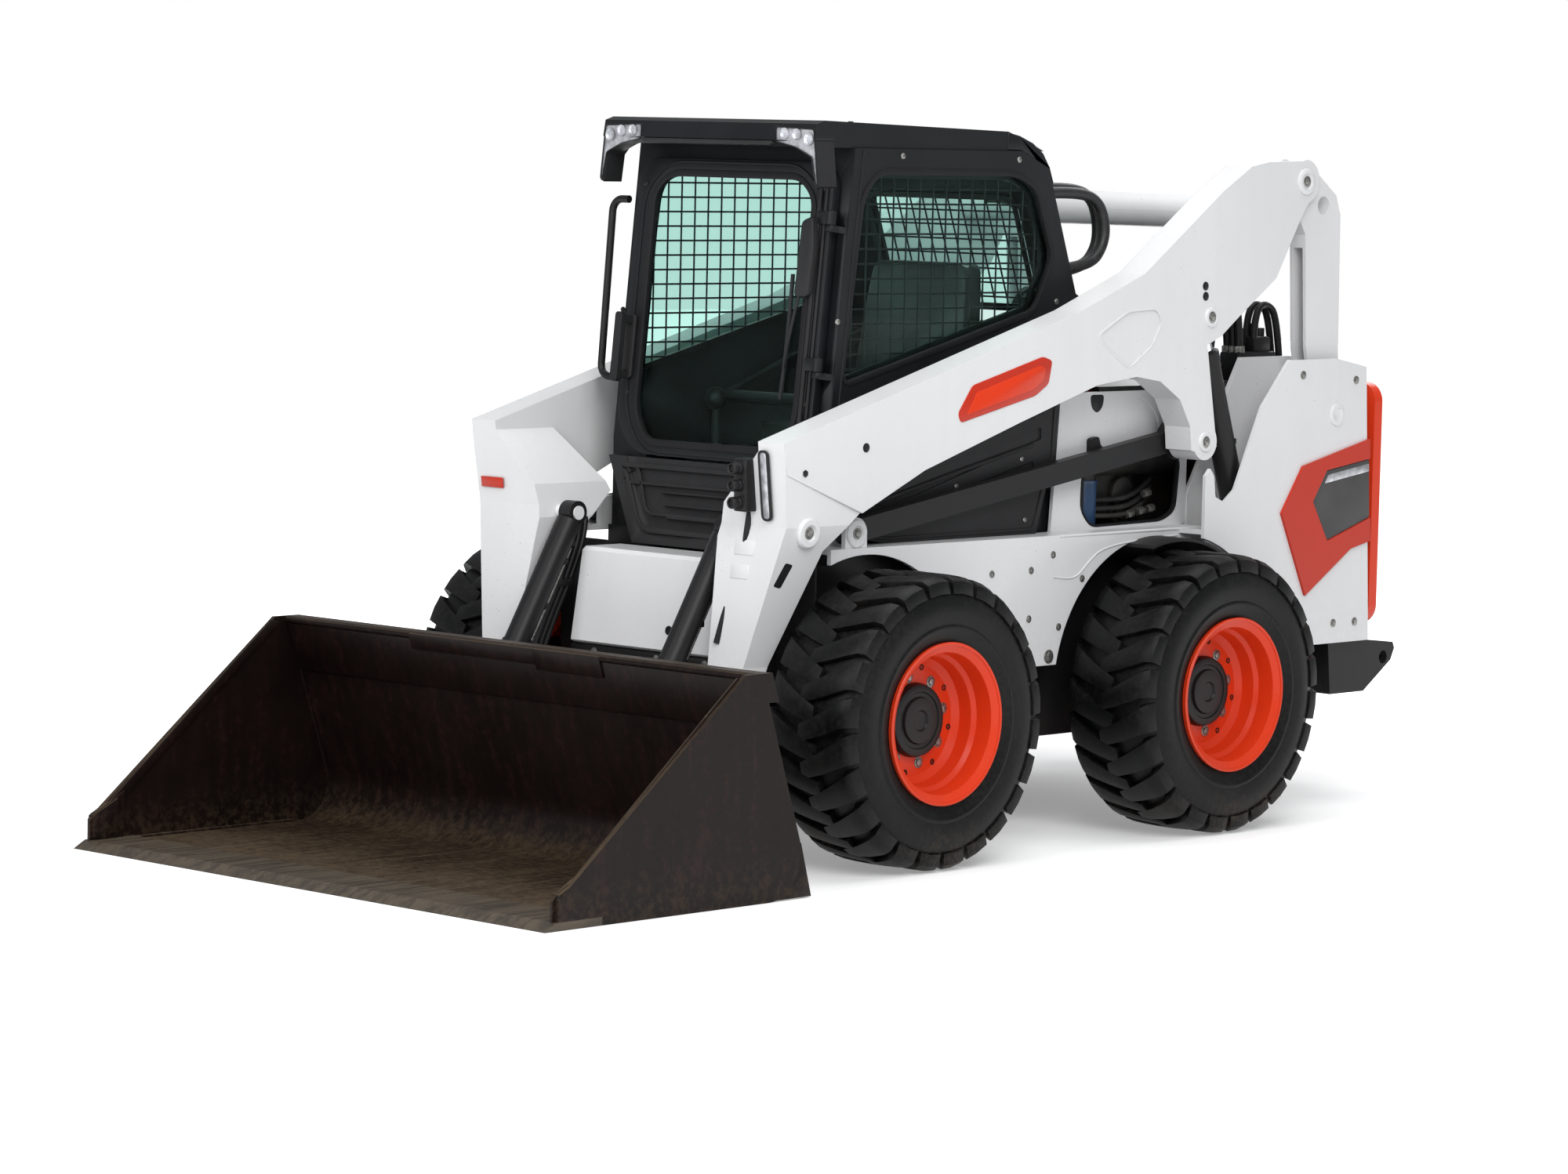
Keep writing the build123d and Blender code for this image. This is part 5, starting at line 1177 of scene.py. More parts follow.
class LOADER_OT_arm_trim(bpy.types.Operator):
    """Bare badges, pin caps, bolts, pressed ridges, couplers and tubes of the lift arms"""
    bl_idname = "loader.arm_trim"
    bl_label = "Arm trim"

    def execute(self, context):
        face = span("lift_arm_left")[1].y
        badge = rounded([(0.958, 1.215), (0.970, 1.242), (0.912, 1.319), (0.614, 1.395), (0.573, 1.383),
                         (0.587, 1.317), (0.643, 1.284)], 0.012, 4)
        plate = side_plate("badge", badge, face - 0.001, 0.0035, 0.0012)
        set_down(both_sides("arm_badges", [plate]), "lift_arms", "trim_paint")
        middle = rounded([(0.936, 1.236), (0.895, 1.300), (0.628, 1.370), (0.602, 1.362), (0.610, 1.328),
                          (0.652, 1.302)], 0.010, 4)
        plate = side_plate("field", middle, face + 0.002, 0.002, 0.0008)
        set_down(both_sides("badge_fields", [plate]), "lift_arms", "orange_paint")
        # Rolled rim of the pressed oval
        oval = rounded([(0.375, 1.448), (0.238, 1.518), (0.115, 1.524), (0.088, 1.489), (0.128, 1.421),
                        (0.231, 1.355)], 0.022, 5)
        strip = frame_strip("press", scaled(oval, 0.001), scaled(oval, -0.006),
                            lambda a, b: at(a, face - 0.001, b), (0, 0.0022, 0), 0.0009)
        set_down(both_sides("arm_presses", [strip]), "lift_arms", "white_paint")
        caps = []
        for (x, z), r in ((ARM_PIVOT, 0.040), (ARM_LUG, 0.030), (LIFT_EYE, 0.030)):
            caps.append(lathe("cap",
                              [(-0.001, 0), (-0.001, r), (0.004, r), (0.0065, r * 0.9), (0.0065, r * 0.62),
                                      (0.0035, r * 0.55), (0.0035, 0)], at(x, face, z), 32))
        set_down(both_sides("pin_caps", caps), "lift_arms", "white_paint")
        bolts("pin_bolts", "lift_arms", pairs((ARM_PIVOT, ARM_LUG, LIFT_EYE), face + 0.003), 0.0115)
        spots = pairs(((-0.110, 1.560), (-0.108, 1.590), (1.343, 1.157)), face)
        bolts("arm_bolts", "lift_arms", spots, 0.009, "black_paint")
        spots = [(at(1.584, hand * leg_face(1.094), 1.094), (0, hand, 0)) for _, hand in SIDES]
        bolts("leg_bolts", "lift_arms", spots, 0.010, "black_paint")
        # Tilt pin's boss on the leaning leg, and below it a dark plate of painted shade where the slot is
        bosses, slot_shades = [], []
        for _, hand in SIDES:
            lean_axis = Vector((0, hand, -0.12)).normalized()
            y = leg_face(0.930)
            bosses.append(lathe("boss",
                                [(-0.014, 0), (-0.014, 0.043), (0.006, 0.043), (0.011, 0.038), (0.011, 0.024),
                                         (0.007, 0.021), (0.007, 0)], at(1.554, hand * y, 0.930), 36,
                                lean_axis))
            y = leg_face(0.815)
            outline = rounded([(1.588, 0.842), (1.618, 0.850), (1.650, 0.786), (1.621, 0.778)], 0.007, 3)
            slot_shades.append(slab("slot", [at(a, hand * (leg_face(b) + 0.0008), b) for a, b in outline],
                              (0, -hand * 0.004, 0)))
        set_down(together("tilt_bosses", bosses), "lift_arms", "white_paint")
        set_down(together("leg_slots", slot_shades), "lift_arms", "gasket")
        bolts("tilt_boss_bolts", "lift_arms",
              [(at(1.554, hand * (leg_face(0.930) + 0.0065), 0.930), (0, hand, -0.12)) for _, hand in SIDES],
              0.012)
        # Front of the legs: slim lamp slot, coupler block, bare plates
        lens = rounded(rectangle(0.535, 1.150, 0.560, 0.968), 0.012, 4)
        slot_lens = slab("leg_lens", [at(leg_front(b), a, b) for a, b in lens], (0.006, 0, 0), 0.002)
        set_down(slot_lens, "lift_arms", "lamp_bowl")
        rim = frame_strip("leg_lens_rim", lens, scaled(lens, -0.006),
                          lambda a, b: at(leg_front(b, 1.6465), a, b), (0.0085, 0, 0), 0.001)
        set_down(rim, "lift_arms", "black_plastic")
        parts = [block("manifold", at(1.630, 0.452, 0.985), at(1.690, 0.500, 1.130), 0.006)]
        for z in (1.010, 1.057, 1.104):
            parts.append(lathe("coupler", [(0, 0), (0, 0.017), (0.012, 0.017), (0.014, 0.014), (0.020, 0.014),
                                           (0.022, 0.017), (0.034, 0.016), (0.036, 0.010), (0.030, 0.009),
                                           (0.030, 0)], at(1.688, 0.476, z), 24, (1, 0, 0)))
        parts.append(pipe("line", [at(1.640, 0.470, 0.99), at(1.652, 0.470, 0.93), at(1.630, 0.44, 0.86),
                                   at(1.66, 0.42, 0.76), at(1.70, 0.41, 0.62)], 0.009, 3))
        set_down(together("quick_couplers", parts), "lift_arms", "black_paint")
        tubes = []
        for k in range(3):
            x = 0.020 * k
            tubes.append(pipe("tube", [at(1.470 + x, 0.352, 0.905), at(1.482 + x, 0.338, 0.860),
                                       at(1.530 + x, 0.344, 0.735), at(1.590 + x, 0.364, 0.590),
                                       at(1.640 + x, 0.371, 0.450), at(1.672 + x, 0.374, 0.370)], 0.0085, 3))
            tubes.append(drum("nut", at(1.530 + x, 0.344, 0.735), at(1.540 + x, 0.347, 0.712), 0.0125, 6,
                              0.002))
        set_down(both_sides("leg_tubes", tubes), "lift_arms", "black_paint")
        plates = []
        for y0, y1, z0, z1 in ((0.428, 0.500, 0.865, 0.905), (0.425, 0.490, 0.800, 0.838)):
            middle = (z0 + z1) / 2
            x = 1.642 + (LEG_KNEE_Z - middle) * LEG_FOOT_SLOPE
            plates.append(slab("plate", [at(x + LEG_FOOT_SLOPE * (middle - b) - 0.001, a, b)
                                         for a, b in rectangle(y0, z0, y1, z1)], (0.0025, 0, 0), 0.0006))
        set_down(together("bare_plates", plates), "lift_arms", "white_paint")
        strip = slab("bare_strip", [at(leg_front(b, 1.6475), a, b)
                                    for a, b in rectangle(-0.590, 0.985, -0.500, 1.015)], (0.0025, 0, 0),
                     0.0006)
        set_down(strip, "lift_arms", "trim_paint")
        return {"FINISHED"}


class LOADER_OT_body_trim(bpy.types.Operator):
    """Bolts, ridges, cover ribs, bay fittings and the valve blocks on the engine cover"""
    bl_idname = "loader.body_trim"
    bl_label = "Body trim"

    def execute(self, context):
        face = span("side_panels")[1].y
        spots = pairs(((0.724, 0.773), (0.554, 0.776), (0.459, 0.817), (0.328, 0.742), (0.559, 0.636),
                       (0.427, 0.606)), face)
        bolts("panel_bolts", "frame", spots, 0.0075)
        bolts("panel_foot_bolts", "frame", pair(0.468, face, 0.522), 0.014)
        upright = span("rear_fenders")[1].y
        spots = pairs(((-0.743, 0.561), (-0.849, 0.560), (-0.560, 1.320), (-0.820, 1.300)), upright)
        bolts("upright_bolts", "frame", spots, 0.009)
        caps = []
        for (x, z), r in ((LINK_FOOT, 0.034), (LIFT_FOOT, 0.028)):
            caps.append(lathe("cap",
                              [(-0.001, 0), (-0.001, r), (0.003, r), (0.005, r * 0.9), (0.005, r * 0.6),
                                      (0.003, r * 0.5), (0.003, 0)], at(x, upright, z), 32))
        set_down(both_sides("upright_caps", caps), "frame", "white_paint")
        boss = lathe("boss", [(-0.002, 0), (-0.002, 0.040), (0.004, 0.040), (0.007, 0.036), (0.007, 0.022),
                              (0.003, 0.019), (0.003, 0)], at(CONTROL_FOOT[0], 0.532, CONTROL_FOOT[1]), 32)
        set_down(both_sides("control_bosses", [boss]), "frame", "white_paint")
        bolts("control_bolts", "frame", pairs([CONTROL_FOOT], 0.5355), 0.011)
        # Rolled lip of the shelf and a pressed line below it
        lip = pipe("lip",
                   [at(0.43, face - 0.004, 0.868), at(0.10, face - 0.003, 0.869),
                    at(-0.10, face - 0.003, 0.869),
                           at(-0.225, face - 0.003, 0.868)], 0.0055, 3, smooth=False)
        press = pipe("press", [at(0.455, face, 0.752), at(0.400, face, 0.744), at(0.350, face, 0.748),
                               at(0.300, face, 0.790), at(0.240, face, 0.828), at(0.050, face, 0.846),
                               at(-0.10, face, 0.850)], 0.0028, 2)
        set_down(both_sides("shelf_lips", [lip, press]), "frame", "white_paint")
        # Long ribs on the black side covers
        cover = span("side_covers")[1].y
        ribs = []
        for (x0, z0), (x1, z1) in (((1.135, 0.985), (0.470, 1.130)), ((1.160, 0.945), (0.455, 1.062)),
                                   ((1.020, 1.058), (0.450, 1.215))):
            ribs.append(pipe("rib",
                             [at(x0, cover - 0.002, z0),
                              at((x0 + x1) / 2, cover - 0.002, (z0 + z1) / 2 + 0.004),
                                     at(x1, cover - 0.002, z1)], 0.006, 3))
        edge = rounded([(1.094, 0.882), (1.152, 0.892), (1.188, 0.962), (1.130, 1.042), (0.372, 1.312),
                        (0.385, 1.058), (0.415, 1.024), (0.460, 0.882)], 0.02, 3)
        ribs.append(frame_strip("cover_edge", scaled(edge, 0.008), edge, lambda a, b: at(a, cover - 0.001, b),
                                (0, 0.004, 0), 0.0015))
        set_down(both_sides("cover_ribs", ribs), "frame", "black_plastic")
        spots = pairs(((0.520, 1.090), (0.800, 1.022), (1.060, 0.920), (0.500, 0.915)), cover)
        bolts("cover_bolts", "frame", spots, 0.008, "zinc", True)
        # Engine bay panel: a black plate of painted shade in its slot, a bracket, a curved press line
        panel = span("engine_panels")[1].y
        slot_shade = side_plate("slot", rounded([(0.204, 1.268), (0.140, 1.268), (0.146, 1.232), (0.170, 1.212),
                                               (0.196, 1.228)], 0.014, 3), panel - 0.002, 0.003, 0.0005)
        bracket = side_plate("bracket",
                             rounded([(0.215, 1.140), (0.180, 1.148), (0.170, 1.118), (0.070, 1.100),
                                                 (0.055, 1.075), (0.214, 1.070)], 0.010, 3), panel - 0.001,
                             0.020,
                             0.003)
        set_down(both_sides("bay_brackets", [slot_shade, bracket]), "frame", "black_paint")
        arc = pipe("arc", [at(-0.02, panel, 1.262), at(-0.075, panel, 1.235), at(-0.118, panel, 1.180),
                           at(-0.130, panel, 1.110)], 0.004, 2)
        set_down(both_sides("bay_press_lines", [arc]), "frame", "white_paint")
        rim_outline = rounded([(0.228, 1.040), (0.232, 0.933), (0.187, 0.884), (-0.137, 0.890),
                               (-0.196, 0.916),
                               (-0.212, 1.070), (0.060, 1.120)], 0.026, 4)
        rim = frame_strip("bay_rim", scaled(rim_outline, 0.001), scaled(rim_outline, -0.006),
                          lambda a, b: at(a, panel - 0.013, b), (0, 0.0155, 0), 0.0015)
        set_down(both_sides("bay_rims", [rim]), "frame", "gasket")
        # Fittings between the block and the panels
        can = lathe("can",
                    [(0, 0), (0, 0.040), (0.006, 0.044), (0.118, 0.044), (0.124, 0.047), (0.134, 0.047),
                            (0.136, 0.040), (0.150, 0.030), (0.150, 0)], at(0.138, 0.372, 0.878), 32,
                    (0, 0, 1))
        set_down(both_sides("oil_filters", [can]), "frame", "filter_blue")
        parts = [block("pump", at(-0.12, 0.262, 0.90), at(0.10, 0.352, 1.03), 0.012),
                 drum("belt_wheel", at(-0.05, 0.345, 0.965), at(-0.05, 0.375, 0.965), 0.05, 28, 0.004),
                 drum("tank", at(-0.15, 0.345, 1.060), at(0.14, 0.345, 1.060), 0.042, 24, 0.010)]
        for k, z in enumerate((0.908, 0.930, 0.955)):
            parts.append(pipe("line", [at(0.15, 0.40, z), at(0.05, 0.415 - 0.012 * k, z - 0.006),
                                       at(-0.06, 0.412, z + 0.004), at(-0.17, 0.375, z + 0.050)], 0.008, 3))
        set_down(both_sides("bay_fittings", parts), "frame", "engine_iron")
        parts = []
        for x, z in ((-0.065, 0.912), (-0.110, 0.918), (-0.015, 0.905), (-0.09, 0.965)):
            parts.append(drum("union", at(x, 0.418, z), at(x - 0.028, 0.418, z + 0.004), 0.013, 6, 0.002))
        set_down(both_sides("bay_unions", parts), "frame", "zinc")
        # Valve block on the engine cover, with its formed tubes
        parts = [block("valve", at(-0.700, 0.345, 1.291), at(-0.520, 0.425, 1.380), 0.008),
                 block("valve", at(-0.680, 0.355, 1.378), at(-0.600, 0.418, 1.425), 0.008)]
        for k in range(4):
            x, y = -0.680 + 0.045 * k, 0.372 + 0.012 * (k % 2)
            parts.append(drum("spool", at(x, y, 1.376), at(x, y, 1.450 + 0.015 * (k % 2)), 0.015, 16, 0.003))
        for k in range(3):
            y = 0.362 + 0.022 * k
            parts.append(pipe("tube", [at(-0.540, y, 1.370), at(-0.535, y, 1.470 + 0.02 * k),
                                       at(-0.490, y, 1.525 + 0.012 * k), at(-0.430, y, 1.500),
                                       at(-0.400, y, 1.420), at(-0.395, y, 1.292)], 0.0125, 3))
        for k in range(2):
            y = 0.375 + 0.03 * k
            parts.append(pipe("tube", [at(-0.610, y, 1.420), at(-0.615, y, 1.500), at(-0.660, y, 1.530),
                                       at(-0.725, y, 1.490), at(-0.745, y, 1.292)], 0.011, 3))
        set_down(both_sides("valve_blocks", parts), "frame", "black_paint")
        parts = []
        for k in range(3):
            y = 0.362 + 0.022 * k
            parts.append(drum("nut", at(-0.540, y, 1.372), at(-0.539, y, 1.398), 0.018, 6, 0.002))
            parts.append(drum("nut", at(-0.395, y, 1.292), at(-0.395, y, 1.316), 0.018, 6, 0.002))
        set_down(both_sides("valve_nuts", parts), "frame", "zinc")
        return {"FINISHED"}


TOE_FOOT, TOE_TOP = (1.383, 0.836), (1.321, 1.157)     # (x, z) of the toe panel's face


class LOADER_OT_cab_trim(bpy.types.Operator):
    """Door hinge rail, wiper, latch, pillar bolts and the toe panel's pressed frame"""
    bl_idname = "loader.cab_trim"
    bl_label = "Cab trim"

    def execute(self, context):
        side = span("cab_frame")[1].y
        spots = pairs(((1.009, 1.955), (0.515, 1.950), (0.336, 1.541), (1.262, 1.493), (1.235, 1.240),
                       (0.300, 1.360)), side)
        bolts("cab_bolts", "frame", spots, 0.009, "zinc", True)
        # Seams between the roof, the pillars and the sides
        seams = [pipe("seam", [at(1.168, side, 1.968), at(1.205, side, 1.66), at(1.272, side, 1.05)], 0.0035,
                      2,
                      False),
                 pipe("seam", [at(0.36, side, 1.30), at(0.80, side, 1.205), at(1.25, side, 1.085)], 0.0035, 2,
                      False)]
        set_down(both_sides("cab_seams", seams), "frame", "cab_paint")
        # Rail beside the door's hinge edge, with the wiper's motor cover
        parts = []
        for b0, b1, y0, y1, out in ((1.200, 1.900, 0.338, 0.352, 0.010), (1.22, 1.88, 0.362, 0.372, 0.007)):
            parts.append(slab("rail", [door_at(a, b, 0.0005) for a, b in rectangle(y0, b0, y1, b1)],
                              (out, 0, 0), 0.003))
        cover = [(0.300, 1.560), (0.352, 1.560), (0.358, 1.700), (0.345, 1.785), (0.305, 1.770)]
        parts.append(slab("motor", [door_at(a, b, 0.0005) for a, b in rounded(cover, 0.014, 3)],
                          (0.030, 0, 0), 0.008))
        set_down(together("door_rail", parts), "door", "black_plastic")
        arm = pipe("arm", [at(door_x(1.60) + 0.026, 0.325, 1.600), at(door_x(1.50) + 0.020, 0.295, 1.500),
                           at(door_x(1.36) + 0.004, 0.262, 1.360)], 0.005, 3)
        blade = pipe("blade", [at(door_x(1.62) - 0.004, 0.258, 1.620), at(door_x(1.40) - 0.006, 0.262, 1.400),
                               at(door_x(1.27) - 0.006, 0.250, 1.270)], 0.006, 3)
        set_down(together("wiper", [arm, blade]), "door", "black_plastic")
        spots = [(at(door_x(z), y, z), (1, 0, 0.1)) for y in (-0.352, 0.388 - 0.036) for z in (1.26, 1.86)]
        bolts("door_bolts", "door", spots, 0.008, "black_paint", True)
        latch = slab("latch", [door_at(a, b, 0.001) for a, b in rounded(
            rectangle(-0.378, 1.300, -0.334, 1.484), 0.012, 3)], (0.010, 0, 0), 0.003)
        set_down(latch, "door", "black_plastic")
        toe_x, toe_z = TOE_FOOT

        def toe(a, b, c=0.0):
            return at(toe_x + (TOE_TOP[0] - toe_x) * (b - toe_z) / (TOE_TOP[1] - toe_z) + c, a, b)

        outline = [(-0.335, 1.062), (0.335, 1.062), (0.318, 1.030), (0.222, 0.868), (-0.222, 0.868),
                   (-0.318, 1.030)]
        strip = frame_strip("toe_frame", rounded(scaled(outline, 0.014), 0.04), rounded(outline, 0.05),
                            lambda a, b: toe(a, b, -0.001), (0.007, 0, 0), 0.002)
        inner = frame_strip("toe_inner", rounded(scaled(outline, 0.060), 0.03),
                            rounded(scaled(outline, 0.052), 0.03),
                            lambda a, b: toe(a, b, -0.001), (0.005, 0, 0), 0.0015)
        parts = [strip, inner]
        for z in (0.915, 0.950, 0.985):
            parts.append(pipe("rib", [toe(-0.13 - (z - 0.93) * 0.5, z), toe(0.13 + (z - 0.93) * 0.5, z)],
                              0.004, 2,
                              False))
        set_down(together("toe_frame", parts), "frame", "black_plastic")
        # Sill below the nose, guards beside it and the nose's small socket
        parts = [block("sill", at(1.480, -0.300, 0.520), at(1.572, 0.300, 0.556), 0.008)]
        set_down(together("nose_sill", parts), "frame", "black_paint")
        guards = [block("guard", at(1.405, 0.320, 0.470), at(1.413, 0.505, 0.840), 0.003)]
        set_down(both_sides("splash_guards", guards), "frame", "black_plastic")
        hole = lathe("hole", [(0.0, 0.0), (0.0, 0.011), (0.002, 0.013), (0.0035, 0.011), (0.0035, 0.007),
                              (0.001, 0.006), (0.001, 0)], at(1.5695, 0.095, 0.622), 24, (1, 0, 0.16))
        set_down(hole, "frame", "gasket")
        bolts("nose_bolts", "frame", [(at(1.5725, y, 0.538), (1, 0, 0)) for y in (-0.2, 0.05, 0.24)], 0.008)
        return {"FINISHED"}


BACK_LEAN = radians(19)
BACK_FOOT_X = 1.861
BACK_OUT = Vector((cos(BACK_LEAN), 0, -sin(BACK_LEAN)))


def back_x(z, behind=0.0):
    """x of the bucket's back at a height, in metres."""
    return BACK_FOOT_X + z * tan(BACK_LEAN) - behind / cos(BACK_LEAN)


class LOADER_OT_bucket_trim(bpy.types.Operator):
    """Lip band, step, edge and heel plates, corner cutters and weld beads of the bucket"""
    bl_idname = "loader.bucket_trim"
    bl_label = "Bucket trim"

    def execute(self, context):
        half = span("bucket")[1].y
        inner = half - 0.014

        def back(y, z, proud):
            return at(back_x(z, -0.014 - proud), y, z)

        parts = []
        band = slab("band",
                    [back(-inner, 0.4555, -0.001), back(inner, 0.4555, -0.001), back(inner, 0.606, -0.001),
                             back(-inner, 0.606, -0.001)], BACK_OUT * 0.011,
                    0.003)
        parts.append(band)
        for y0, y1, z0 in ((-0.40, 0.10, 0.560), (0.10, 0.36, 0.545)):
            parts.append(slab("step", [back(y0, z0, 0.009), back(y1, z0, 0.009), back(y1, 0.604, 0.009),
                                       back(y0, 0.604, 0.009)],
                              BACK_OUT * 0.008, 0.002))
        for _, hand in SIDES:
            low, high = sorted((hand * (half - 0.001), hand * (half - 0.026)))
            parts.append(slab("cutter", [at(a, low, b) for a, b in rounded(
                [(2.700, 0.022), (2.789, 0.022), (2.789, 0.090), (2.700, 0.135)], 0.006, 2)],
                (0, high - low, 0), 0.002))
            # Doubled plate along the sloping edge of each side
            parts.append(slab("edge", [at(a, hand * (inner - 0.006), b) for a, b in (
                (2.150, 0.600), (2.740, 0.115), (2.722, 0.093), (2.118, 0.590))], (0, hand * 0.007, 0),
                              0.002))
        for _, hand in SIDES:
            low, high = sorted((hand * (half - 0.0005), hand * (half - 0.0135)))
            heel = [(1.866, 0.003), (2.030, 0.003), (2.010, 0.020), (1.965, 0.045), (1.925, 0.120),
                    (1.909, 0.150)]
            parts.append(slab("heel", [at(a, low, b) for a, b in heel], (0, high - low, 0), 0.0015))
        parts.append(pipe("roll",
                          [at(back_x(0.597) + 0.020, -inner, 0.597), at(back_x(0.597) + 0.020, inner, 0.597)],
                          0.0095, 3, False))
        set_down(together("bucket_plates", parts), "bucket", "bucket_steel")
        beads = []
        for _, hand in SIDES:
            y = hand * (inner - 0.002)
            beads.append(pipe("bead", [back(y, 0.600, 0.002), back(y, 0.30, 0.002), back(y, 0.130, 0.002)],
                              0.005, 2,
                              False))
            beads.append(pipe("bead", [at(2.05, y, 0.016), at(2.40, y, 0.016), at(2.63, y, 0.016)], 0.005, 2,
                              False))
        beads.append(pipe("bead", [back(-inner + 0.01, 0.4535, 0.001), back(inner - 0.01, 0.4535, 0.001)],
                          0.005, 2,
                          False))
        beads.append(pipe("bead", [at(2.638, -inner + 0.01, 0.0165), at(2.638, inner - 0.01, 0.0165)], 0.005,
                          2,
                          False))
        set_down(together("bucket_welds", beads), "bucket", "bucket_steel")
        return {"FINISHED"}


class LOADER_OT_tail_trim(bpy.types.Operator):
    """Grey tail inserts, the tailgate's louvres, latch and lamp rims"""
    bl_idname = "loader.tail_trim"
    bl_label = "Tail trim"

    def execute(self, context):
        face = span("rear_fenders")[1].y
        insert = side_plate("insert", rounded([(-0.891, 1.057), (-0.682, 1.028), (-0.618, 0.937),
                                               (-0.693, 0.818), (-0.901, 0.880)], 0.006, 2), face - 0.001,
                            0.0065,
                            0.002)
        set_down(both_sides("tail_inserts", [insert]), "frame", "grey_insert")
        bar = side_plate("bar",
                         rounded([(-0.889, 1.044), (-0.690, 1.016), (-0.672, 0.990), (-0.891, 1.020)], 0.004,
                                        2), face + 0.005, 0.002, 0.0008)
        set_down(both_sides("insert_bars", [bar]), "frame", "lamp_bowl")
        low, high, _ = span("tailgate")
        skin = low.x - REAR
        slats = []
        z = low.z + 0.125
        while z < high.z - 0.125:
            slats.append(slab("slat", [at(skin + 0.0245, -0.425, z), at(skin + 0.0245, 0.425, z),
                                       at(skin + 0.004, 0.425, z - 0.018),
                                       at(skin + 0.004, -0.425, z - 0.018)],
                              (0, 0, 0.004), 0.001))
            z += 0.030
        slats.append(block("mullion", at(skin + 0.002, -0.012, low.z + 0.1),
                           at(skin + 0.020, 0.012, high.z - 0.1),
                           0.003))
        set_down(together("tail_louvres", slats), "tailgate", "black_plastic")
        frame_out = rectangle(-0.434, low.z + 0.098, 0.434, high.z - 0.098)
        strip = frame_strip("grille_frame", rounded(scaled(frame_out, 0.012), 0.03),
                            rounded(scaled(frame_out, -0.012), 0.045), lambda a, b: at(skin + 0.002, a, b),
                            (-0.0018, 0, 0), 0.0006)
        set_down(strip, "tailgate", "black_plastic")
        latch = slab("latch", [at(skin + 0.001, a, b) for a, b in rounded(
            rectangle(0.500, 0.93, 0.575, 1.02), 0.012, 3)], (0.018, 0, 0), 0.004)
        set_down(latch, "tailgate", "black_plastic")
        low, high, middle = span("tail_lamps")
        rims = []
        for y in (middle.y + 0.534, middle.y - 0.534):
            outline = rectangle(y - 0.066, low.z - 0.006, y + 0.066, high.z + 0.006)
            rims.append(frame_strip("rim", rounded(scaled(outline, 0.010), 0.012), rounded(outline, 0.02),
                                    lambda a, b: at(skin + 0.0015, a, b), (-0.0012, 0, 0)))
        set_down(together("tail_lamp_rims", rims), "tailgate", "black_plastic")
        return {"FINISHED"}


# Cylinders: kind, foot, eye, y, bore radius, rod radius, barrel length
CYLINDERS = (
    ("lift", LIFT_FOOT, LIFT_EYE, 0.570, 0.038, 0.025, 0.785),
    ("tilt", TILT_FOOT, TILT_EYE, 0.310, 0.036, 0.020, 0.450),
)


class LOADER_OT_cylinder_trim(bpy.types.Operator):
    """Gland nuts, ports and hard lines of the four cylinders"""
    bl_idname = "loader.cylinder_trim"
    bl_label = "Cylinder trim"

    def execute(self, context):
        for kind, foot, eye, y, bore, rod, length in CYLINDERS:
            run = Vector((eye[0] - foot[0], 0, eye[1] - foot[1]))
            run.normalize()
            out = Vector((run.z, 0, -run.x)) * (1 if kind == "tilt" else -1)
            glands, lines = [], []
            for _, hand in SIDES:
                base = at(foot[0], hand * y, foot[1])
                glands.append(lathe("gland", [(length - 0.030, bore - 0.001), (length - 0.030, bore + 0.0035),
                                              (length - 0.004, bore + 0.0035), (length, bore),
                                              (length + 0.004, bore - 0.006), (length + 0.004, rod + 0.002),
                                              (length - 0.002, rod + 0.002), (length - 0.002, bore - 0.004)],
                                    base, 40, run))
                for s in (0.075, length - 0.055):
                    port = base + run * s
                    glands.append(drum("port", port + out * (bore - 0.004), port + out * (bore + 0.014),
                                       0.012, 6,
                                       0.002))
                start, end = base + run * 0.075, base + run * (length - 0.055)
                lift = out * (bore + 0.012)
                lines.append(pipe("line", [end + out * (bore - 0.002), end + lift, end + lift - run * 0.03,
                                           start + lift + run * 0.10, start + lift + run * 0.06,
                                           start + out * (bore + 0.010) + run * 0.015], 0.0055, 3))
                for s in (0.30, 0.62):
                    spot = base + run * (length * s) + out * (bore + 0.006)
                    glands.append(block("clip", spot - Vector((0.009, 0.012, 0.009)),
                                        spot + Vector((0.009, 0.012, 0.009)), 0.003))
            set_down(together(f"{kind}_glands", glands), f"{kind}_barrels", "black_paint")
            set_down(together(f"{kind}_lines", lines), f"{kind}_barrels", "zinc")
            # Eyes' pins
            pins = []
            for _, hand in SIDES:
                width = 0.033 if kind == "lift" else 0.030
                pins.append(drum("pin", at(eye[0], hand * y - width, eye[1]),
                                 at(eye[0], hand * y + width, eye[1]),
                                 0.0195, 28, 0.002))
            set_down(together(f"{kind}_eye_pins", pins), f"{kind}_rods", "zinc")
        return {"FINISHED"}


def cushion(name, low, high, crown):
    """A padded cushion: a rounded block with a crowned top, pulled in at its piping."""
    piece = cube_between(name, low, high)
    low, high = Vector(low), Vector(high)
    bpy.ops.mesh.subdivide(number_cuts=7)
    bpy.ops.object.mode_set(mode="OBJECT")
    size, middle = high - low, (low + high) / 2
    thin = min(range(3), key=lambda k: size[k])
    for vertex in piece.data.vertices:
        share = [(vertex.co[k] - middle[k]) / (size[k] / 2) for k in range(3)]
        flat = [abs(share[k]) for k in range(3) if k != thin]
        swell = (1 - flat[0] ** 2) * (1 - flat[1] ** 2)
        side = 1 if share[thin] > 0 else -0.35
        vertex.co[thin] += side * crown * (swell - 0.35) * min(abs(share[thin]), 1)
        for k in range(3):
            if k != thin:
                vertex.co[k] -= share[k] * 0.006 * (1 - abs(share[thin]))
    soft = piece.modifiers.new("soft", "SUBSURF")
    soft.levels = soft.render_levels = 2
    only(piece)
    bpy.ops.object.modifier_apply(modifier="soft")
    return piece


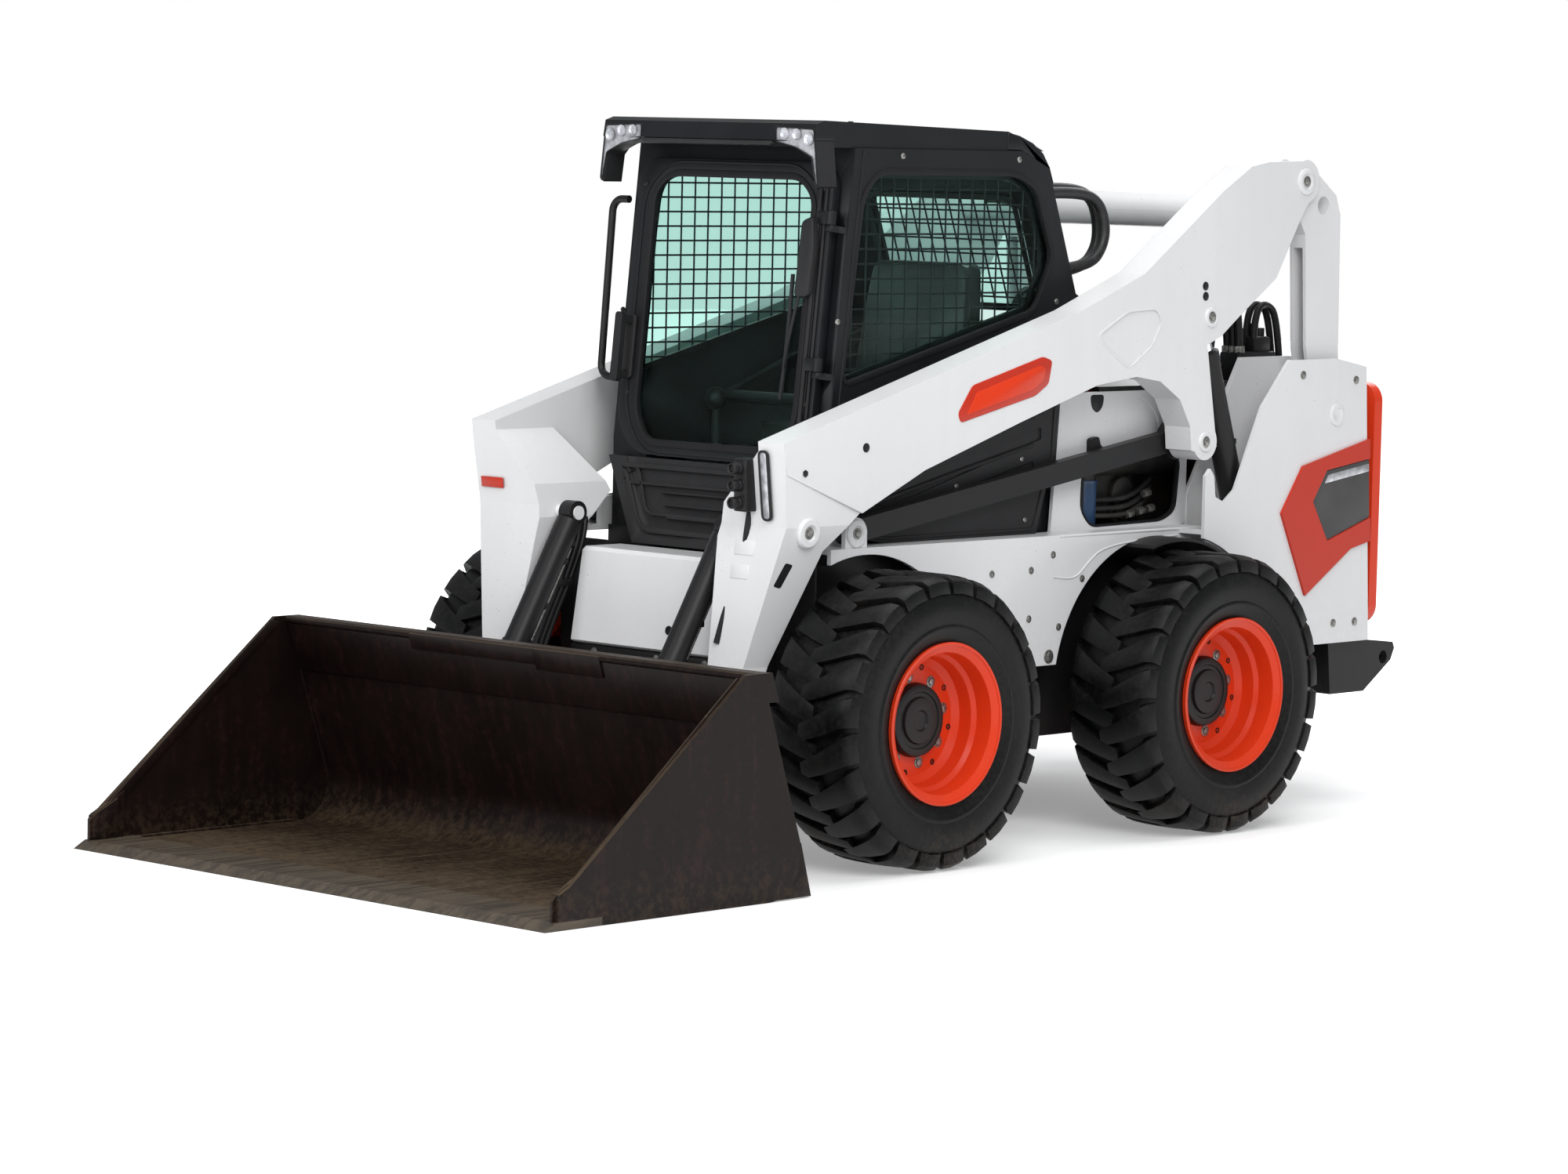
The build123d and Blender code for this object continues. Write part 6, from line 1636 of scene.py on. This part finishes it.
class LOADER_OT_seat(bpy.types.Operator):
    """Suspension seat: pedestal, crowned cushion and back with piping"""
    bl_idname = "loader.seat"
    bl_label = "Seat"

    def execute(self, context):
        pan = block("seat_pan", at(0.500, -0.190, 0.906), at(0.820, 0.190, 1.084), 0.02)
        set_down(pan, "frame", "black_plastic")
        base = cushion("seat_cushion", at(0.455, -0.225, 1.088), at(0.905, 0.225, 1.180), 0.022)
        set_down(base, "frame", "seat_vinyl", smooth=60)
        back = cushion("seat_back", at(0.400, -0.215, 1.170), at(0.490, 0.215, 1.645), 0.022)
        for vertex in back.data.vertices:
            rise = (vertex.co.z - 1.17) / 0.475
            vertex.co.x += 0.045 - 0.060 * rise
            vertex.co.y *= 1 - 0.16 * max(rise, 0) ** 2
        set_down(back, "frame", "seat_vinyl", smooth=60)
        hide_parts("seat")
        return {"FINISHED"}


def cord_curve(name, points, diameter):
    """A hose along a smooth spline through its route's points, with its length."""
    line = curve_through(name, points, CORD_RESOLUTION)
    hose = bpy.data.objects.new(name, line)
    bpy.context.collection.objects.link(hose)
    length = spline_length(hose)
    line.bevel_depth = diameter / 2
    line.bevel_resolution = 6
    line.use_fill_caps = True
    line.materials.append(finishes["hose_rubber"])
    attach(hose, "frame")
    return hose, length


def spline_length(line):
    mesh = bpy.data.meshes.new_from_object(line)
    total = sum((mesh.vertices[a].co - mesh.vertices[b].co).length for a,
                b in (e.vertices for e in mesh.edges))
    bpy.data.meshes.remove(mesh)
    return total


LOOP_HOSE = 0.034               # outside diameter of the two loops


class LOADER_OT_hoses(bpy.types.Operator):
    """Two supply hoses up behind the cab and two loops on its rear wall"""
    bl_idname = "loader.hoses"
    bl_label = "Hoses"

    def execute(self, context):
        fittings = []
        for name, y in (("inner", 0.150), ("outer", 0.200)):
            points = [at(0.120, y, 1.290), at(0.120, y, 1.430), at(0.060, y, 1.640), at(0.120, y, 1.830),
                      at(0.340, y, 1.842)]
            hose, length = cord_curve(f"hose_{name}", points, sizes.hose)
            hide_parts("rear_hoses")
            fittings.append(lathe("ferrule", [(0.0, 0.0), (0.0, 0.024), (0.010, 0.024), (0.012, 0.0195),
                                              (0.050, 0.0195), (0.052, 0.0175), (0.052, 0)], points[0], 24,
                                  (0, 0, 1)))
            fittings.append(lathe("ferrule", [(0.0, 0.0), (0.0, 0.0195), (0.042, 0.0195), (0.046, 0.0175),
                                              (0.046, 0)], points[-1] - Vector((0.046, 0, 0.002)), 24,
                                  (1, 0, 0)))
        set_down(together("hose_ferrules", fittings), "frame", "zinc")
        for name, y, wide in (("upper", 0.352, 0.0), ("lower", 0.388, 0.012)):
            points = [at(0.367, y, 1.866 - wide), at(0.215, y, 1.872 - wide),
                      at(0.105 + wide, y, 1.848 - wide),
                      at(0.070 + wide, y, 1.765), at(0.078 + wide, y, 1.690 + wide),
                      at(0.145, y, 1.632 + wide),
                      at(0.273, y, 1.622 + wide)]
            hose, length = cord_curve(f"loop_{name}", points, LOOP_HOSE)
        return {"FINISHED"}


class LOADER_OT_paint(bpy.types.Operator):
    """Give every carried-over solid its finish"""
    bl_idname = "loader.paint"
    bl_label = "Paint"

    def execute(self, context):
        make_finishes()
        special = {"work_lamps": "black_plastic", "tail_trims": "trim_paint"}
        for part in frame["record"]["subparts"]:
            node = part["node"]
            repaint(node, special.get(node, part["material_slot"]))
        return {"FINISHED"}


# Colour and strength of what lights the machine and of what the camera sees
SKY = ((0.93, 0.96, 1.0, 1), 0.36)
BACKDROP = ((1, 1, 1, 1), 1.0)


class LOADER_OT_stage(bpy.types.Operator):
    """Pale floor, soft lamps and the camera"""
    bl_idname = "loader.stage"
    bl_label = "Stage"

    def execute(self, context):
        scene = bpy.context.scene
        scene.view_settings.view_transform = "Standard"
        clear()
        bpy.ops.mesh.primitive_grid_add(x_subdivisions=4, y_subdivisions=4, size=60, location=(0, 0, 0))
        floor = named("floor")
        floor.location.z = -0.0005
        shade = Shade("pale floor")
        path = shade.tree.nodes.new("ShaderNodeLightPath")
        seen = Term(shade, path.outputs["Is Camera Ray"])
        glossy = Term(shade, path.outputs["Is Glossy Ray"])
        through = Term(shade, path.outputs["Is Transmission Ray"])
        direct = (seen + glossy + through).held()
        far = shade.node("ShaderNodeVectorMath", {"operation": "LENGTH"}, shade.place, out=1).rise(2.2, 5.5)
        glow = shade.mix((direct * (far * 0.72 + 0.28)).held(), (0, 0, 0), (1, 1, 1))
        shade.finish(Base_Color=(0.84, 0.84, 0.84), Roughness=0.9, Specular_IOR_Level=0.0,
                     Emission_Color=glow,
                     Emission_Strength=1.0)
        floor.data.materials.append(shade.material)

        world = bpy.data.worlds.new("studio")
        scene.world = world
        world.use_nodes = True
        tree = world.node_tree
        tree.nodes.clear()
        out = tree.nodes.new("ShaderNodeOutputWorld")
        mix = tree.nodes.new("ShaderNodeMixShader")
        for slot, (tint, power) in enumerate((SKY, BACKDROP), 1):
            light = tree.nodes.new("ShaderNodeBackground")
            light.inputs[0].default_value = tint
            light.inputs[1].default_value = power
            tree.links.new(light.outputs[0], mix.inputs[slot])
        path = tree.nodes.new("ShaderNodeLightPath")
        add = tree.nodes.new("ShaderNodeMath")
        add.operation = "ADD"
        add.use_clamp = True
        tree.links.new(path.outputs["Is Camera Ray"], add.inputs[0])
        tree.links.new(path.outputs["Is Transmission Ray"], add.inputs[1])
        tree.links.new(add.outputs[0], mix.inputs[0])
        tree.links.new(mix.outputs[0], out.inputs[0])

        middle = (rest_box[0] + rest_box[1]) / 2
        for name, place, power, wide in (
            ("key", (3.5, 5.5, 5.5), stage.key, 4.5),
            ("front", (7.0, 0.5, 3.6), stage.fill, 4.0),
            ("top", (-1.0, 0.5, 7.0), stage.fill * 1.1, 5.0),
            ("rim", (-6.0, -2.0, 3.5), stage.fill * 0.6, 3.5),
        ):
            place = Vector(place)
            bpy.ops.object.light_add(type="AREA", location=place,
                                     rotation=(middle - place).to_track_quat("-Z", "Y").to_euler())
            lamp = bpy.context.object
            lamp.name = name
            lamp.data.energy = power
            lamp.data.size = wide

        target = middle + Vector((0.1443, 0, -0.3159))
        out_dir = Vector((sin(stage.azimuth) * cos(stage.elevation),
                          -cos(stage.azimuth) * cos(stage.elevation),
                          sin(stage.elevation)))
        look = -out_dir
        across = look.cross(Vector((0, 0, 1))).normalized()
        up = across.cross(look)
        right = across * cos(stage.roll) + up * sin(stage.roll)
        up = up * cos(stage.roll) - across * sin(stage.roll)
        turn = Matrix((right, up, -look)).transposed()
        bpy.ops.object.camera_add(location=target + out_dir * stage.distance, rotation=turn.to_euler())
        camera = bpy.context.object
        camera.data.sensor_width = 36.0
        camera.data.lens = stage.lens
        camera.data.clip_end = 100
        scene.camera = camera
        return {"FINISHED"}


class LOADER_PT_panel(bpy.types.Panel):
    """Builds the loader's finish piece by piece"""
    bl_label = "Loader"
    bl_idname = "LOADER_PT_panel"
    bl_space_type = "VIEW_3D"
    bl_region_type = "UI"
    bl_category = "Loader"

    def draw(self, context):
        column = self.layout.column()
        for group in (context.scene.loader_sizes, context.scene.loader_colours, context.scene.loader_stage):
            for name in group.bl_rna.properties.keys():
                if name not in ("rna_type", "name"):
                    column.prop(group, name)
        for operator in STEPS:
            column.operator(operator.bl_idname)


STEPS = (LOADER_OT_paint, LOADER_OT_stage, LOADER_OT_tyres, LOADER_OT_wheel_trim, LOADER_OT_cab_shell,
         LOADER_OT_glazing, LOADER_OT_lamps,
         LOADER_OT_arm_trim, LOADER_OT_body_trim, LOADER_OT_cab_trim, LOADER_OT_bucket_trim,
         LOADER_OT_tail_trim,
         LOADER_OT_cylinder_trim, LOADER_OT_seat, LOADER_OT_hoses)
GROUPS = (LoaderSizes, LoaderColours, StageSettings)


def register():
    for kind in GROUPS + STEPS + (LOADER_PT_panel,):
        bpy.utils.register_class(kind)
    bpy.types.Scene.loader_sizes = PointerProperty(type=LoaderSizes)
    bpy.types.Scene.loader_colours = PointerProperty(type=LoaderColours)
    bpy.types.Scene.loader_stage = PointerProperty(type=StageSettings)


def unregister():
    del bpy.types.Scene.loader_sizes
    del bpy.types.Scene.loader_colours
    del bpy.types.Scene.loader_stage
    for kind in reversed(GROUPS + STEPS + (LOADER_PT_panel,)):
        bpy.utils.unregister_class(kind)


def main():
    """Build every piece in order and note the sizes."""
    global sizes, colours, stage
    register()
    sizes = bpy.context.scene.loader_sizes
    colours = bpy.context.scene.loader_colours
    stage = bpy.context.scene.loader_stage
    for step in STEPS:
        group, name = step.bl_idname.split(".")
        getattr(getattr(bpy.ops, group), name)()
    clear()


if __name__ == "__main__":
    main()
